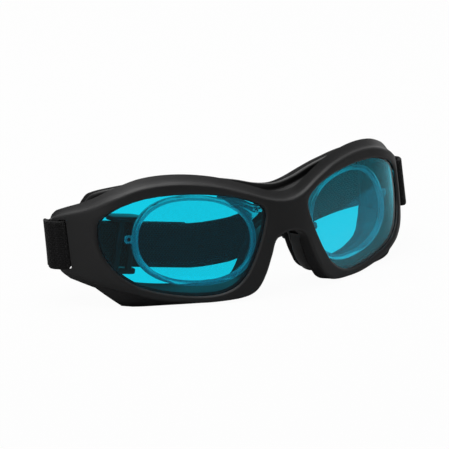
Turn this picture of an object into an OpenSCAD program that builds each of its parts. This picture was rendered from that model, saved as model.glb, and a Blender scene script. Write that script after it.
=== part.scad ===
// Wrap-around laser safety goggles with filter lenses, a clip-in corrective insert and an elastic strap.
// Millimetres. The wearer looks along -Y, +Z is up, and the goggles stand on z = 0.

/* [Filter lenses] */
// Width of one lens opening
lens_w = 58.6; // [54:0.2:62]
// Height of one lens opening
lens_h = 36.5; // [32:0.5:40]
// Distance between the two lens openings at the nose
lens_gap = 19.4; // [18:0.2:23]
// Height of the lowest point of a lens opening above the table
lens_low = 3.1; // [3:0.1:5]
// Thickness of a filter lens
lens_t = 1.6; // [1.2:0.1:2.4]
// How far the lens face lies behind the front face
lens_recess = 1.0; // [0.8:0.1:2]
// How far the lens reaches under the lip of the opening
lens_seat = 1.2; // [0.9:0.1:1.4]
// Thickness of the gasket behind a filter lens
seal_t = 0.4; // [0.3:0.1:0.8]
// How far the gasket shows inside the lens opening
seal_lip = 0.6; // [0.3:0.1:0.8]

/* [Wrap of the face] */
// Turn of the front face across the lenses, in degrees
lens_sweep = 18; // [14:1:22]
// Turn of the front face at the temples, in degrees
wing_sweep = 52; // [44:1:56]
// Distance from the middle over which the bridge turns into the lens sweep
bridge_turn = 12; // [8:1:16]
// Distance inside the outer lens edge where the temple turn starts
wing_turn = 18; // [14:1:24]
// Backward lean of the front face, in degrees
face_lean = 11.3; // [6:0.1:14]

/* [Front frame] */
// Rim above the lens opening
brow_rim = 4.1; // [3.6:0.1:6]
// Height of the brow line over the bridge
bridge_z = 34.4; // [33:0.1:36]
// Height of the nose arch
arch_z = 23; // [21:0.5:24]
// Length of the temple wing beyond the lens opening
wing_len = 11.5; // [11:0.1:15]
// Height of the temple wing
wing_h = 20; // [19.6:0.1:22]
// Height of the middle of the temple wing
wing_z = 22.5; // [22:0.1:23]
// Wall of the lip behind the crease
lip_t = 1.2; // [1:0.1:1.4]
// Radius of the rounded edge along the crease
crease_r = 0.7; // [0.4:0.1:1]
// Width of the bevel round the lens opening
bevel = 0.8; // [0.4:0.1:1]
// How far the top face rises from the crease to its rear edge
top_rise = 2.7; // [1.5:0.1:3.5]

/* [Rear shell] */
// Wall of the rear shell
shell_t = 1.6; // [1.2:0.1:2]
// Half width of the rear shell where it enters the front frame
shell_half = 70.6; // [70:0.1:71.5]
// Half width of the rear shell at the face
rim_half = 65; // [63:0.5:66]
// Radius of the face that the rear rim follows
face_r = 88; // [80:1:100]
// How far the rear rim lies behind the front face at the bridge
rim_back = 12.6; // [11:0.2:16]
// Height of the outward flange of the rear rim
flange_h = 2.2; // [1.6:0.1:2.8]
// Thickness of that flange
flange_t = 1.8; // [1.2:0.1:2.4]
// How far the rear rim stands above the brow line
rim_rise = 0.2; // [0:0.1:1.5]
// Thickness of the face cushion
cushion_t = 4.5; // [3:0.5:7]

/* [Corrective insert] */
// Width of one insert rim
rx_w = 46.5; // [44:0.5:48]
// Height of one insert rim
rx_h = 32.6; // [29:0.2:33]
// Distance between the centres of the insert rims
rx_gap = 68; // [66:0.5:70]
// Height of the centre of the insert rims
rx_z = 22; // [21:0.5:23]
// Width of the insert rim seen from the front
rx_rim = 1.9; // [1.6:0.1:2.4]
// Depth of the insert rim
rx_depth = 2; // [1.8:0.1:2.4]
// Thickness of a corrective lens at its edge
rx_lens_t = 1.2; // [1:0.1:1.3]

/* [Strap] */
// Width of the elastic webbing
strap_w = 17; // [16:0.5:18]
// Thickness of the elastic webbing
strap_t = 1.4; // [1:0.1:1.5]
// Width of the strap slot in the temple wing
slot_w = 3.2; // [2.8:0.1:3.6]
// Room above and below the webbing in its slot
slot_room = 0.5; // [0.5:0.1:0.8]
// Width of the bar between the strap slot and the tip of the wing
slot_bar = 3.8; // [3.4:0.1:4.6]
// How far the webbing stands off behind the cushion at the left side
strap_gap = 2; // [2:0.5:10]
// How much further back the webbing runs at the right side, per mm of width
strap_skew = 0.145; // [0:0.005:0.16]
// Length of the strap slider along the webbing
slider_l = 15; // [12:0.5:20]
// Thickness of the bars of the slider
slider_bar = 1.5; // [1.2:0.1:2]

/* [Screws] */
// Diameter of the bridge screws
screw_d = 1.6; // [1.4:0.1:1.7]
// Length of the bridge screws under the head
screw_l = 3.8; // [3.2:0.1:4]
// Distance between the bridge screws
screw_gap = 8; // [7:0.5:10]

/* [Hidden] */
// Running clearance, and the gap left round soft pieces
fit = 0.05;
soft_gap = 0.3;
// Front face at the bridge, measured at mid height
front_y = -28.93;
lean = tan(face_lean);
lean_z = lens_low + 0.53 * lens_h;
lens_in = lens_gap / 2;
lens_out = lens_in + lens_w;
lens_mid = lens_in + lens_w / 2;
brow_z = lens_low + lens_h + brow_rim;
// The wing reaches past the lens, and leaves room for the strap beside the shell and its rim
shell_room = 9.2;
rim_room = 14.8;
wing_x = max(lens_out + wing_len, shell_half + shell_room, rim_half + rim_room);
wing_top = wing_z + wing_h / 2;
wing_low = wing_z - wing_h / 2;
slot_h = strap_w + 2 * slot_room;
seal_d = lens_recess + lens_t;
plate_t = seal_d + seal_t;
shell_d = plate_t + 2 * fit;
wing_start = lens_out - wing_turn;
wing_end = lens_out + wing_turn * 0.42;

// Plan of the front face: the sweep angle grows from the bridge to the temple
function smooth(u) = let(v = max(0, min(1, u))) v * v * (3 - 2 * v);
function sweep(x) = lens_sweep * smooth(abs(x) / bridge_turn)
    + (wing_sweep - lens_sweep) * smooth((abs(x) - wing_start) / (wing_end - wing_start));
plan = [for (i = 0, y = front_y; i <= 110; y = y + tan(sweep(i + 0.5)), i = i + 1) [i, y]];
function face_y(x) = lookup(abs(x), plan);
// A point of the front view, at a depth behind the leaning front face
function at(p, d) = let(a = sweep(p[0]))
    [p[0] - d * sin(a), face_y(p[0]) + lean * (p[1] - lean_z) + d * cos(a), p[1]];
// A point of the front view on the curved rear rim
rim_y = front_y + rim_back;
function face_curve(x) = rim_y + face_r - sqrt(face_r * face_r - x * x);
function on_rim(p, dy) = [p[0], face_curve(p[0]) + dy, p[1]];

// Lens opening of the right eye in percent of its width and height, clockwise from the bridge
opening_pct = [[1.5, 81.6], [6.5, 86.8], [16.7, 92.9], [33, 97.8], [53.4, 100], [72.2, 98.4],
    [86.7, 92], [95, 84], [98.5, 78], [99.7, 72.6], [100, 57.3], [98.8, 46.3], [97, 38.6], [92, 26],
    [86, 18], [80.7, 13], [67, 5.8], [48.3, 0.4], [33.8, 0.5], [23.5, 6], [16.4, 15.6], [11, 28.8],
    [6.3, 44], [3.1, 56.7], [1.2, 66.3], [0.2, 72], [0.2, 77.3]];
opening = [for (p = opening_pct) [lens_in + p[0] * lens_w / 100, lens_low + p[1] * lens_h / 100]];

// Crease between the front face and the top, side and bottom faces, from the bridge to the arch
crease = [[0, bridge_z], [lens_in - 2.7, bridge_z + 1], [lens_in + 7.3, bridge_z + 4.5],
    [lens_mid - 11, brow_z - 1.6], [lens_mid + 2, brow_z], [lens_out - 15.3, brow_z - 0.7],
    [lens_out - 5.8, brow_z - 3.8], [wing_x - 9.5, wing_top + 3.3], [wing_x - 2, wing_top],
    [wing_x - 0.4, wing_top - 2], [wing_x, wing_z - 1], [wing_x - 1.2, wing_low + 1.2],
    [wing_x - 3.4, wing_low - 0.3], [lens_out + 2.4, wing_low - 3.5], [lens_out - 2.6, lens_low + 3.9],
    [lens_out - 8.3, lens_low + 2.3], [lens_out - 16.3, lens_low], [lens_mid - 1, lens_low - 2.3],
    [lens_in + 17.3, lens_low - 2.4], [lens_in + 9.6, lens_low - 1.4], [lens_in + 5.6, lens_low + 0.9],
    [lens_in + 2.2, lens_low + 5.9], [lens_in - 0.8, lens_low + 12.5], [lens_in - 3.5, arch_z - 2],
    [0, arch_z]];

// How far the crease lies behind the face, which curls back at the wing and over the flare
crease_back = [0, 0, 0, 0, 0, 0, 0, 0.3, 0.7, 0.8, 0.8, 1, 1, 1.1, 1.2, 0.7, 0.1, 0, 0, 0, 0, 0, 0, 0,
    0];
// Shift in x and z from the crease to the rear edge of the front frame, and the depth of that edge
lip_edge = [[0, top_rise, 3.2], [0, top_rise, 3.2], [0, top_rise, 3.2], [0, top_rise, 3.2],
    [0, top_rise, 3.2], [0, top_rise, 3.2], [0, top_rise, 3.2], [0, top_rise * 0.9, 3.2],
    [0.2, top_rise * 0.6, plate_t + 0.1], [0.2, 0.5, plate_t], [0.2, 0, plate_t],
    [0.2, -0.7, plate_t], [0.3, -2.4, plate_t + 0.4], [0.4, -2.2, 4.2], [1.7, -4, 4.8],
    [4.3, -5.2, 5.6], [0, -3.8, 5.7], [0, -1.8, 5.9], [0, -0.7, 5.9], [-0.2, -0.4, 5.5],
    [-0.4, -0.4, 5.5], [-0.5, -0.2, 5], [-0.5, 0, 4.5], [-0.3, -0.2, 4.2], [0, -0.2, 4]];

// Outline of the rear rim in the front view, from over the bridge to the nose arch
rim = [[0, bridge_z + 4.3], [lens_in - 1.7, bridge_z + 5.5], [lens_in + 7.3, bridge_z + 7.9],
    [lens_mid - 12, brow_z + rim_rise - 0.2], [lens_mid, brow_z + rim_rise],
    [rim_half - 15, brow_z + rim_rise - 1.4], [rim_half - 7.4, brow_z - 3.2],
    [rim_half - 3.1, brow_z - 5.1], [rim_half - 1.2, brow_z - 7.9], [rim_half - 0.4, wing_top + 0.1],
    [rim_half, wing_z + 1.9], [rim_half - 0.4, wing_low + 3.4], [rim_half - 1.2, wing_low],
    [rim_half - 4, lens_low + 4.4], [rim_half - 7.5, lens_low + 1.3], [rim_half - 12, lens_low - 0.5],
    [rim_half - 20, lens_low - 1.7], [lens_mid - 4, lens_low - 2.1], [lens_in + 16.8, lens_low - 1.7],
    [lens_in + 9.2, lens_low - 0.9], [lens_in + 4.9, lens_low + 1.1], [lens_in + 2, lens_low + 5.3],
    [lens_in - 1.3, lens_low + 12.1], [lens_in - 3.9, arch_z - 2.5], [0, arch_z - 0.4]];
last = len(crease) - 1;

// Smooth curve through a list of points, at station t
function unit(v) = v / max(norm(v), 0.001);
function heading(P, i, closed) = let(n = len(P))
    closed ? unit(P[(i + 1) % n] - P[(i + n - 1) % n])
    : i == 0 ? [1, 0] : i == n - 1 ? [-1, 0] : unit(P[i + 1] - P[i - 1]);
function curve(P, t, closed) = let(n = len(P), i = closed ? floor(t) % n : min(floor(t), n - 2),
    j = (i + 1) % n, s = t - floor(t) + (closed ? 0 : floor(t) - i), L = norm(P[j] - P[i]))
    (1 + 2 * s) * (1 - s) * (1 - s) * P[i] + s * (1 - s) * (1 - s) * L * heading(P, i, closed)
    + s * s * (3 - 2 * s) * P[j] + s * s * (s - 1) * L * heading(P, j, closed);
function blend_row(P, t) = let(i = min(floor(t), len(P) - 2)) P[i] + (t - i) * (P[i + 1] - P[i]);
// Normal that points to the inside of an outline run clockwise
function inward(P, t, closed) = let(e = 0.05, n = len(P),
    a = curve(P, closed ? (t + n - e) % n : max(t - e, 0), closed),
    b = curve(P, closed ? (t + e) % n : min(t + e, n - 1), closed), d = unit(b - a))
    !closed && t == 0 ? [0, -1] : !closed && t == n - 1 ? [0, 1] : [d[1], -d[0]];
function inset(P, t, w, closed = false) = curve(P, t, closed) + w * inward(P, t, closed);

// Joins rings of equal length into a skin, and leaves out flat slivers and faces in the middle plane
function strip(a, b, n, m) = [for (i = [0 : n - 1]) let(j = (i + 1) % m)
    each [[a + i, a + j, b + j], [a + i, b + j, b + i]]];
function real_face(P, f) = P[f[0]] != P[f[1]] && P[f[1]] != P[f[2]] && P[f[2]] != P[f[0]]
    && abs(P[f[0]][0]) + abs(P[f[1]][0]) + abs(P[f[2]][0]) > 0.0001;
module skin(P, F) { polyhedron(P, [for (f = F) if (real_face(P, f)) f]); }
// Closed tube of sections, each a list of points, running once round a loop
function flat(L) = [for (a = L) each a];
function tube_faces(n, k) = [for (i = [0 : n - 1], j = [0 : k - 1])
    let(a = i * k + j, b = i * k + (j + 1) % k, c = ((i + 1) % n) * k + j, d = c - j + (j + 1) % k)
    each [[a, b, d], [a, d, c]]];
module loop_tube(S) { skin(flat(S), tube_faces(len(S), len(S[0]))); }
module both() { children(); mirror([1, 0, 0]) children(); }

// Stations of the front frame: all round the opening, the last ones along the middle of the bridge
per_row = 4;
count = len(opening) * per_row;
open_count = last * per_row;
function middle_z(t) = arch_z + (bridge_z - arch_z) * (t - last) / (len(opening) - last);
function keep(z, w) = max(arch_z + w, min(bridge_z - w, z));
function front_row(t) = t > last
    ? let(z = middle_z(t)) [[0, keep(z, crease_r)], [0, keep(z, crease_r)], [0, keep(z, lip_t)]]
    : [curve(crease, t, false), inset(crease, t, crease_r), inset(crease, t, lip_t)];
function back_off(t) = t > last ? 0 : blend_row(crease_back, t);
function front_section(t) = let(o = curve(opening, t, true), f = front_row(t),
    out = inset(opening, t, -lens_seat, true), lip = inset(opening, t, -bevel, true))
    [at(f[2], plate_t), at((f[2] + out) / 2, plate_t), at(out, plate_t), at(out, lens_recess),
     at(o, lens_recess), at(o, bevel * 0.6), at(lip, 0), at((lip + f[1]) / 2, back_off(t) * 0.35),
     at(f[1], back_off(t) * 0.85), at(f[0], t > last ? 0 : back_off(t) + crease_r)];
function lip_section(t) = let(f = front_row(t), e = blend_row(lip_edge, t), s = [e[0], e[1]],
    from = back_off(t) + crease_r)
    [at(f[0] + 0.45 * s, from + 0.5 * (e[2] - from)), at(f[0] + s, e[2]), at(f[2] + s, e[2])];

module half_faces_skin() {
    face = [for (i = [0 : count - 1]) front_section(i / per_row)];
    lip = [for (i = [0 : open_count]) lip_section(i / per_row)];
    rings = [for (k = [0 : 9]) each [for (s = face) s[k]]];
    lips = [for (k = [0 : 2]) each [for (s = lip) s[k]]];
    n = count;
    base = 10 * n;
    m = open_count + 1;
    right = concat(
        [for (k = [0 : 8]) each strip(k * n, (k + 1) * n, n, n)],
        strip(9 * n, base, m - 1, n * 99),
        strip(base, base + m, m - 1, n * 99),
        strip(base + m, base + 2 * m, m - 1, n * 99),
        strip(base + 2 * m, 0, m - 1, n * 99));
    P = concat(rings, lips);
    Q = [for (p = P) [-p[0], p[1], p[2]]];
    turned = [for (f = right) [f[0], f[2], f[1]]];
    skin(concat(P, Q), concat(turned, [for (f = right) f + len(P) * [1, 1, 1]]));
}

// A point in the plan of the right temple wing: s along the wing from its tip, d behind its face
tip = [wing_x, face_y(wing_x)];
wing_u = [cos(wing_sweep), sin(wing_sweep)];
wing_n = [-sin(wing_sweep), cos(wing_sweep)];
function wing(s, d) = tip + s * wing_u + d * wing_n;
slot_s = -slot_bar - slot_w / 2;
slot_mid = wing(slot_s, plate_t / 2);

module strap_slot() {
    translate([slot_mid[0], slot_mid[1], wing_z]) rotate([-face_lean, 0, 0]) rotate([0, 0, wing_sweep])
        cube([slot_w, 4 * plate_t, slot_h], center = true);
}

// Tilts its children with the front face at the bridge: y from the rear of the front plate
tab_y = front_y + shell_d + 0.6;
tab_low = arch_z + 1.6;
tab_top = bridge_z - 4.8;
module on_bridge() {
    translate([0, tab_y, lean_z]) rotate([-face_lean, 0, 0]) translate([0, 0, -lean_z]) children();
}
screw_z = tab_low + 2.6;
tab_w = 13;
tab_t = 1.8;
module screw_bore(r, from, to) {
    for (x = [-screw_gap / 2, screw_gap / 2])
        on_bridge() translate([x, from, screw_z]) rotate([-90, 0, 0])
            cylinder(h = to - from, r = r, $fn = 32);
}

// The frame is flat where it stands on the table
table = [3 * wing_x, 2 * wing_x, wing_h];
module front_frame() {
    color("#2b2b2c") difference() {
        half_faces_skin();
        both() strap_slot();
        screw_bore(screw_d / 2 + fit, tab_t - screw_l - 0.2, 1);
        translate([-table[0] / 2, -table[1] / 2, -table[2]]) cube(table);
    }
}

// Filter lens, a curved plate that follows the front face
lens_rows = 2;
module filter_plate(grow, near, far) {
    mid = [lens_mid, lens_low + lens_h * 0.5];
    n = len(opening) * lens_rows;
    edge = [for (i = [0 : n - 1]) inset(opening, i / lens_rows, -grow, true)];
    rings = [for (f = [1, 0.93, 0.75, 0.5, 0.25]) [for (p = edge) mid + f * (p - mid)]];
    P = concat([for (r = rings, p = r) at(p, near)], [for (r = rings, p = r) at(p, far)],
        [at(mid, near), at(mid, far)]);
    k = len(rings);
    front = [for (j = [0 : k - 2]) each strip(j * n, (j + 1) * n, n, n)];
    rear = [for (j = [0 : k - 2]) each strip((k + j) * n, (k + j + 1) * n, n, n)];
    a = (k - 1) * n;
    b = (2 * k - 1) * n;
    caps = [for (i = [0 : n - 1]) let(j = (i + 1) % n)
        each [[a + i, a + j, 2 * k * n], [b + j, b + i, 2 * k * n + 1]]];
    rim_band = strip(k * n, 0, n, n);
    skin(P, concat(front, [for (f = rear) [f[0], f[2], f[1]]], caps, rim_band));
}
module filter_lens() { filter_plate(lens_seat - 2 * fit, lens_recess + fit, seal_d - fit); }
module filter_lens_right() { color("#1fb4d2", 0.6) filter_lens(); }
module filter_lens_left() { color("#1fb4d2", 0.6) mirror([1, 0, 0]) filter_lens(); }

// Gasket between the rear of the lens and the front edge of the shell
module seal_ring() {
    n = len(opening) * lens_rows;
    loop_tube([for (i = [0 : n - 1]) let(t = i / lens_rows, a = inset(opening, t, seal_lip, true),
        b = inset(opening, t, -lens_seat + 3 * fit, true))
        [at(b, seal_d + fit), at(b, plate_t), at(a, plate_t), at(a, seal_d + fit)]]);
}
module lens_seal_right() { color("#161616") seal_ring(); }
module lens_seal_left() { color("#161616") mirror([1, 0, 0]) seal_ring(); }

// Rear shell: a wall from the front frame to the rim that follows the face
shell_rows = 4;
ledge_t = 0.8;
shelf_t = 1.1;
// The wall stands inside the lip, and at the side it is upright and follows the height of the wing
side_run = 0.575 * wing_h;
function wall_line(t, w) = let(d = lip_t + 3 * fit + w, p = inset(crease, t, d), c = curve(crease, t, false))
    p[0] < shell_half - w ? p : [shell_half - w, wing_z + (c[1] - wing_z) * (1 - d / side_run)];
function near_lens(t) = smooth((t - 0.6) / 1.4) * smooth((last - 0.4 - t) / 1.4);
function shell_in(t) = let(k = near_lens(t))
    (1 - k) * wall_line(t, shell_t) + k * inset(opening, t, -0.4, true);
// Height of the flange, which is low beside the nose
function flange(t) = flange_h * (1 - 0.7 * smooth((t - 18) / 2));
function shell_section(t) = [at(shell_in(t), shell_d), at(wall_line(t, 0), shell_d),
    on_rim(inset(rim, t, flange(t)), -flange_t), on_rim(curve(rim, t, false), -flange_t),
    on_rim(curve(rim, t, false), 0), on_rim(inset(rim, t, flange(t) + shell_t), 0),
    at(wall_line(t, shell_t), shell_d + ledge_t), at(shell_in(t), shell_d + ledge_t)];
// Sections of the right half followed by the mirrored ones of the left half, so that they close a ring
function ring_of(S) = let(n = len(S)) concat(S,
    [for (i = [n - 2 : -1 : 1]) [for (p = S[i]) [-p[0], p[1], p[2]]]]);

module rear_shell() {
    color("#1c1c1d") difference() {
        union() {
            loop_tube(ring_of([for (i = [0 : last * shell_rows]) shell_section(i / shell_rows)]));
            on_bridge() translate([-tab_w / 2, 0, tab_low]) cube([tab_w, tab_t, tab_top - tab_low]);
            on_bridge() translate([-tab_w / 2, 0, tab_top - shelf_t])
                cube([tab_w, bar_y - tab_y - 2 * fit, shelf_t]);
        }
        screw_bore(screw_d / 2 + fit, -1, tab_t + 0.01);
    }
}

// Soft ring that seals the shell against the face
function cushion_section(t) = let(w = flange(t) + shell_t, a = inset(rim, t, 0.4),
    m = inset(rim, t, w / 2 + 0.15), b = inset(rim, t, w - 0.4), y = soft_gap)
    [on_rim(b, y), on_rim(a, y), on_rim(a, y + cushion_t * 0.55), on_rim((a + m) / 2, y + cushion_t * 0.9),
     on_rim(m, y + cushion_t), on_rim((b + m) / 2, y + cushion_t * 0.9), on_rim(b, y + cushion_t * 0.55)];
module face_cushion() {
    color("#232325") loop_tube(ring_of([for (i = [0 : last * 2]) cushion_section(i / 2)]));
}

// Soft nose pad, seated in the channel between the front frame and the flange
pad_from = 20.1;
pad_to = 22.7;
function pad_section(t, s) = let(front = at(wall_line(t, 0), shell_d),
    rear = on_rim(inset(rim, t, flange(t)), -flange_t), run = norm(rear - front),
    edge = blend_row(lip_edge, t), n = inward(rim, t, false), low = [-n[0], 0, -n[1]],
    a = front + (edge[2] + soft_gap - shell_d) / run * (rear - front),
    b = front + (1 - soft_gap / run) * (rear - front), h = 0.6 + 1.2 * sin(180 * s))
    [a + soft_gap * low, b + soft_gap * low, b + (soft_gap + h) * low, a + (soft_gap + h * 0.8) * low];
module pad() {
    steps = 10;
    S = [for (i = [0 : steps]) let(s = i / steps) pad_section(pad_from + s * (pad_to - pad_from), s)];
    k = 4;
    body = [for (i = [0 : steps - 1], j = [0 : k - 1]) let(a = i * k + j, b = i * k + (j + 1) % k)
        each [[a, b + k, b], [a, a + k, b + k]]];
    skin(flat(S), concat(body, [[0, 1, 2], [0, 2, 3]],
        [[steps * k, steps * k + 2, steps * k + 1], [steps * k, steps * k + 3, steps * k + 2]]));
}
module nose_pad_right() { color("#0d0d0e") pad(); }
module nose_pad_left() { color("#0d0d0e") mirror([1, 0, 0]) pad(); }

// Corrective insert: two rims in planes that follow the lenses, joined over the nose
rx_turn = 17;
rx_tilt = 6;
// Room beside the nose, and behind the front face at the temple edge of the rim
rx_nose = 1.05;
rx_room = 4.31;
rx_mid = max(rx_gap / 2, lens_in + rx_nose + rx_w / 2);
rx_y = face_y(rx_mid + rx_w / 2 * cos(rx_turn)) + rx_room - rx_w / 2 * sin(rx_turn);
function bulge(v) = sign(v) * pow(abs(v), 2 / 2.3);
function oval(w, h, grow) = [for (i = [0 : 71]) let(a = i * 5, x = (w / 2 + grow) * bulge(cos(a)),
    z = (h / 2 + grow) * bulge(sin(a)))
    [x * cos(rx_tilt) - z * sin(rx_tilt), x * sin(rx_tilt) + z * cos(rx_tilt)]];
module rx_plane(t) {
    translate([rx_mid, rx_y, rx_z]) rotate([0, 0, rx_turn]) rotate([-face_lean, 0, 0]) rotate([90, 0, 0])
        translate([0, 0, -t / 2]) linear_extrude(t) children();
}
groove = 0.8;
tab_hole = 1.5;
module rx_rim_half() {
    difference() {
        union() {
            rx_plane(rx_depth) polygon(oval(rx_w, rx_h, 0));
            rx_plane(rx_depth * 0.6) polygon([[-rx_w / 2 - 1.6, 7.6], [-rx_w / 2 - 1.6, 10.4],
                [-rx_w / 2 + 4.5, 13.5], [-10, rx_h / 2 - 0.5], [-9, 12], [-rx_w / 2 + 3, 4]]);
            rx_plane(rx_depth * 0.6) translate([rx_w / 2 - 0.6, 1]) square([3.2, 2.8]);
        }
        rx_plane(rx_depth + 2) polygon(oval(rx_w, rx_h, -rx_rim));
        rx_plane(rx_lens_t + 2 * fit) polygon(oval(rx_w, rx_h, -rx_rim + groove));
        rx_plane(rx_depth + 2) translate([rx_w / 2 + 1.1, 2.4]) circle(d = tab_hole, $fn = 24);
    }
}
bar_low = tab_top + soft_gap;
bar_y = rx_y - rx_w / 2 * sin(rx_turn) + 1.6;
module rx_carrier() {
    color("#bfe9f2", 0.6) union() {
        both() rx_rim_half();
        translate([-lens_in - 1.6, bar_y - 0.8, bar_low]) cube([2 * lens_in + 3.2, 1.6, 2]);
    }
}
module rx_lens() { rx_plane(rx_lens_t) polygon(oval(rx_w, rx_h, -rx_rim + groove - fit)); }
module rx_lens_right() { color("#d8f4fa", 0.4) rx_lens(); }
module rx_lens_left() { color("#d8f4fa", 0.4) mirror([1, 0, 0]) rx_lens(); }

// Elastic strap: one webbing from tail to tail, its route chosen by hand for each half.
// Each point holds the middle of the webbing and the share of the face lean that the webbing takes there.
back_y = face_curve(rim_half) + soft_gap + cushion_t + strap_gap;
ply = strap_t + soft_gap;
half_w = strap_w / 2;
function on_wing(s, d) = [wing(s, d)[0], wing(s, d)[1], wing_z, 1];
gap_in = plate_t + 0.4 + strap_t / 2;
gap_out = -0.2 - strap_t / 2;
function behind(x, k) = back_y + k * max(0, x - 6);
// Behind the head the webbing rises from the floor towards the wings: distance from the middle and rise
stretch = [[6, 0.1], [12, 0.6], [32, 4.1], [52, 7.6]];
function strap_in(k) = [for (p = stretch) [p[0], behind(p[0], k), half_w + p[1], 0]];
function strap_out(k) = [for (i = [3, 2]) let(p = stretch[i])
    [p[0], behind(p[0], k) + ply, half_w + p[1], 0]];
tail_x = 13;
function tail_end(k) = [[tail_x, behind(tail_x, k) + ply, half_w + 0.8, 0]];
// Outer ply from the tip of the wing to that stretch: distance inside the tip, share of the way back,
// height under the middle of the wing, and lean
side_y = tip[1] + 2.9;
bend = [[1.1, 0.03, 0.1, 0.9], [1.8, 0.15, 0.5, 0.7], [3, 0.32, 1, 0.5], [5, 0.52, 1.7, 0.35],
    [8.2, 0.74, 2.6, 0.2], [13.2, 0.92, 3.8, 0.1], [19.8, 0.99, 4.9, 0.03]];
function bend_out(k) = [for (p = bend)
    [wing_x - p[0], side_y + p[1] * (behind(stretch[3][0], k) + ply - side_y), wing_z - p[2], p[3]]];
function route_dir(R, i) = unit([for (k = [0, 1]) R[min(i + 1, len(R) - 1)][k] - R[max(i - 1, 0)][k]]);
// Inner ply, one ply inside the outer one, from the stretch to the wing
function bend_in(B) = [for (i = [len(B) - 1 : -1 : 1]) let(d = route_dir(B, i))
    [B[i][0] - d[1] * ply, B[i][1] + d[0] * ply, B[i][2], B[i][3]]];
strap_round = [on_wing(-0.4, gap_in), on_wing(slot_s + 3.2, gap_in), on_wing(slot_s + 1.8, gap_in - 0.1),
    on_wing(slot_s + 0.6, 3.5), on_wing(slot_s - 0.1, 2.3), on_wing(slot_s - 0.2, 0.7),
    on_wing(slot_s + 0.3, -0.4), on_wing(slot_s + 1.3, gap_out), on_wing(slot_s + 2.6, gap_out),
    on_wing(-0.8, gap_out), on_wing(0.6, -0.1), on_wing(1.05, 1.4)];
function strap_half(k) = concat(strap_in(k), bend_in(bend_out(k)), strap_round, bend_out(k), strap_out(k),
    tail_end(k));
left_half = strap_half(0);
turned_half = [for (i = [len(left_half) - 1 : -1 : 0]) let(p = left_half[i]) [-p[0], p[1], p[2], p[3]]];
strap_route = concat(turned_half, [[0, back_y, half_w, 0]], strap_half(strap_skew));
function route_at(R, i, s) = let(L = norm([R[i + 1][0] - R[i][0], R[i + 1][1] - R[i][1]]),
    a = route_dir(R, i), b = route_dir(R, i + 1), h0 = (1 + 2 * s) * (1 - s) * (1 - s),
    h1 = s * (1 - s) * (1 - s) * L, h2 = s * s * (3 - 2 * s), h3 = s * s * (s - 1) * L)
    concat([for (k = [0, 1]) h0 * R[i][k] + h1 * a[k] + h2 * R[i + 1][k] + h3 * b[k]],
        [for (k = [2, 3]) (1 - s) * R[i][k] + s * R[i + 1][k]]);
strap_steps = 3;
module strap() {
    R = strap_route;
    steps = [for (i = [0 : len(R) - 2], j = [0 : strap_steps - 1]) route_at(R, i, j / strap_steps)];
    pts = concat(steps, [R[len(R) - 1]]);
    n = len(pts);
    S = [for (i = [0 : n - 1]) let(d = route_dir(pts, i), o = [-d[1], d[0]] * strap_t / 2, p = pts[i],
        h = p[3] * lean * half_w)
        [[p[0] + o[0], p[1] + o[1] - h, p[2] - half_w], [p[0] - o[0], p[1] - o[1] - h, p[2] - half_w],
         [p[0] - o[0], p[1] - o[1] + h, p[2] + half_w], [p[0] + o[0], p[1] + o[1] + h, p[2] + half_w]]];
    body = [for (i = [0 : n - 2], j = [0 : 3]) let(a = i * 4 + j, b = i * 4 + (j + 1) % 4)
        each [[a, b, b + 4], [a, b + 4, a + 4]]];
    e = (n - 1) * 4;
    ends = [[3, 2, 1], [3, 1, 0], [e, e + 1, e + 2], [e, e + 2, e + 3]];
    color("#141414") skin(flat(S), concat(body, ends));
}

// Slider that holds both layers of webbing together, on the straight stretch behind the head
slope = atan((stretch[3][1] - stretch[1][1]) / (stretch[3][0] - stretch[1][0]));
slider_x = 42;
slider_z = half_w + stretch[3][1] - (stretch[3][0] - slider_x) * tan(slope);
rail_t = 1.8;
window_h = strap_w * cos(slope) + 2 * 0.5;
inner_y = -strap_t / 2 - 0.4;
outer_y = strap_t / 2 + ply + 0.4;
module rail() {
    y0 = inner_y - slider_bar;
    d = outer_y + slider_bar - y0;
    translate([-slider_l / 2 + d / 2, y0, 0]) cube([slider_l - d, d, rail_t]);
    for (x = [-slider_l / 2 + d / 2, slider_l / 2 - d / 2])
        translate([x, y0 + d / 2, 0]) cylinder(h = rail_t, d = d, $fn = 48);
}
module slider(k) {
    translate([slider_x, behind(slider_x, k), slider_z]) rotate([0, -slope, atan(k)]) {
        for (z = [-window_h / 2 - rail_t, window_h / 2]) translate([0, 0, z]) rail();
        for (x = [-1, 1])
            translate([x * (slider_l / 2 - 4.6) - 1.2, inner_y - slider_bar, -window_h / 2 - 0.5])
                cube([2.4, slider_bar, window_h + 1]);
        translate([-1.6, outer_y, -window_h / 2 - 0.5]) cube([3.2, slider_bar, window_h + 1]);
    }
}
module slider_right() { color("#101011") slider(strap_skew); }
module slider_left() { color("#101011") mirror([1, 0, 0]) slider(0); }

// Two pan head screws that hold the shell to the bridge of the front frame
head_r = 1.27;
head_h = 1.1;
module bridge_screws() {
    color("#5a5c60") for (x = [-screw_gap / 2, screw_gap / 2])
        on_bridge() translate([x, tab_t + 0.02, screw_z]) rotate([-90, 0, 0]) difference() {
            union() {
                cylinder(h = head_h, r = head_r, $fn = 32);
                translate([0, 0, -screw_l]) cylinder(h = screw_l + 0.1, r = screw_d / 2, $fn = 32);
            }
            translate([0, 0, head_h - 0.5]) for (a = [0, 90]) rotate(a) cube([1.9, 0.4, 1.2], center = true);
        }
}

front_frame();
rear_shell();
face_cushion();
nose_pad_right();
nose_pad_left();
filter_lens_right();
filter_lens_left();
lens_seal_right();
lens_seal_left();
bridge_screws();
rx_carrier();
rx_lens_right();
rx_lens_left();
strap();
slider_right();
slider_left();
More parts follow.
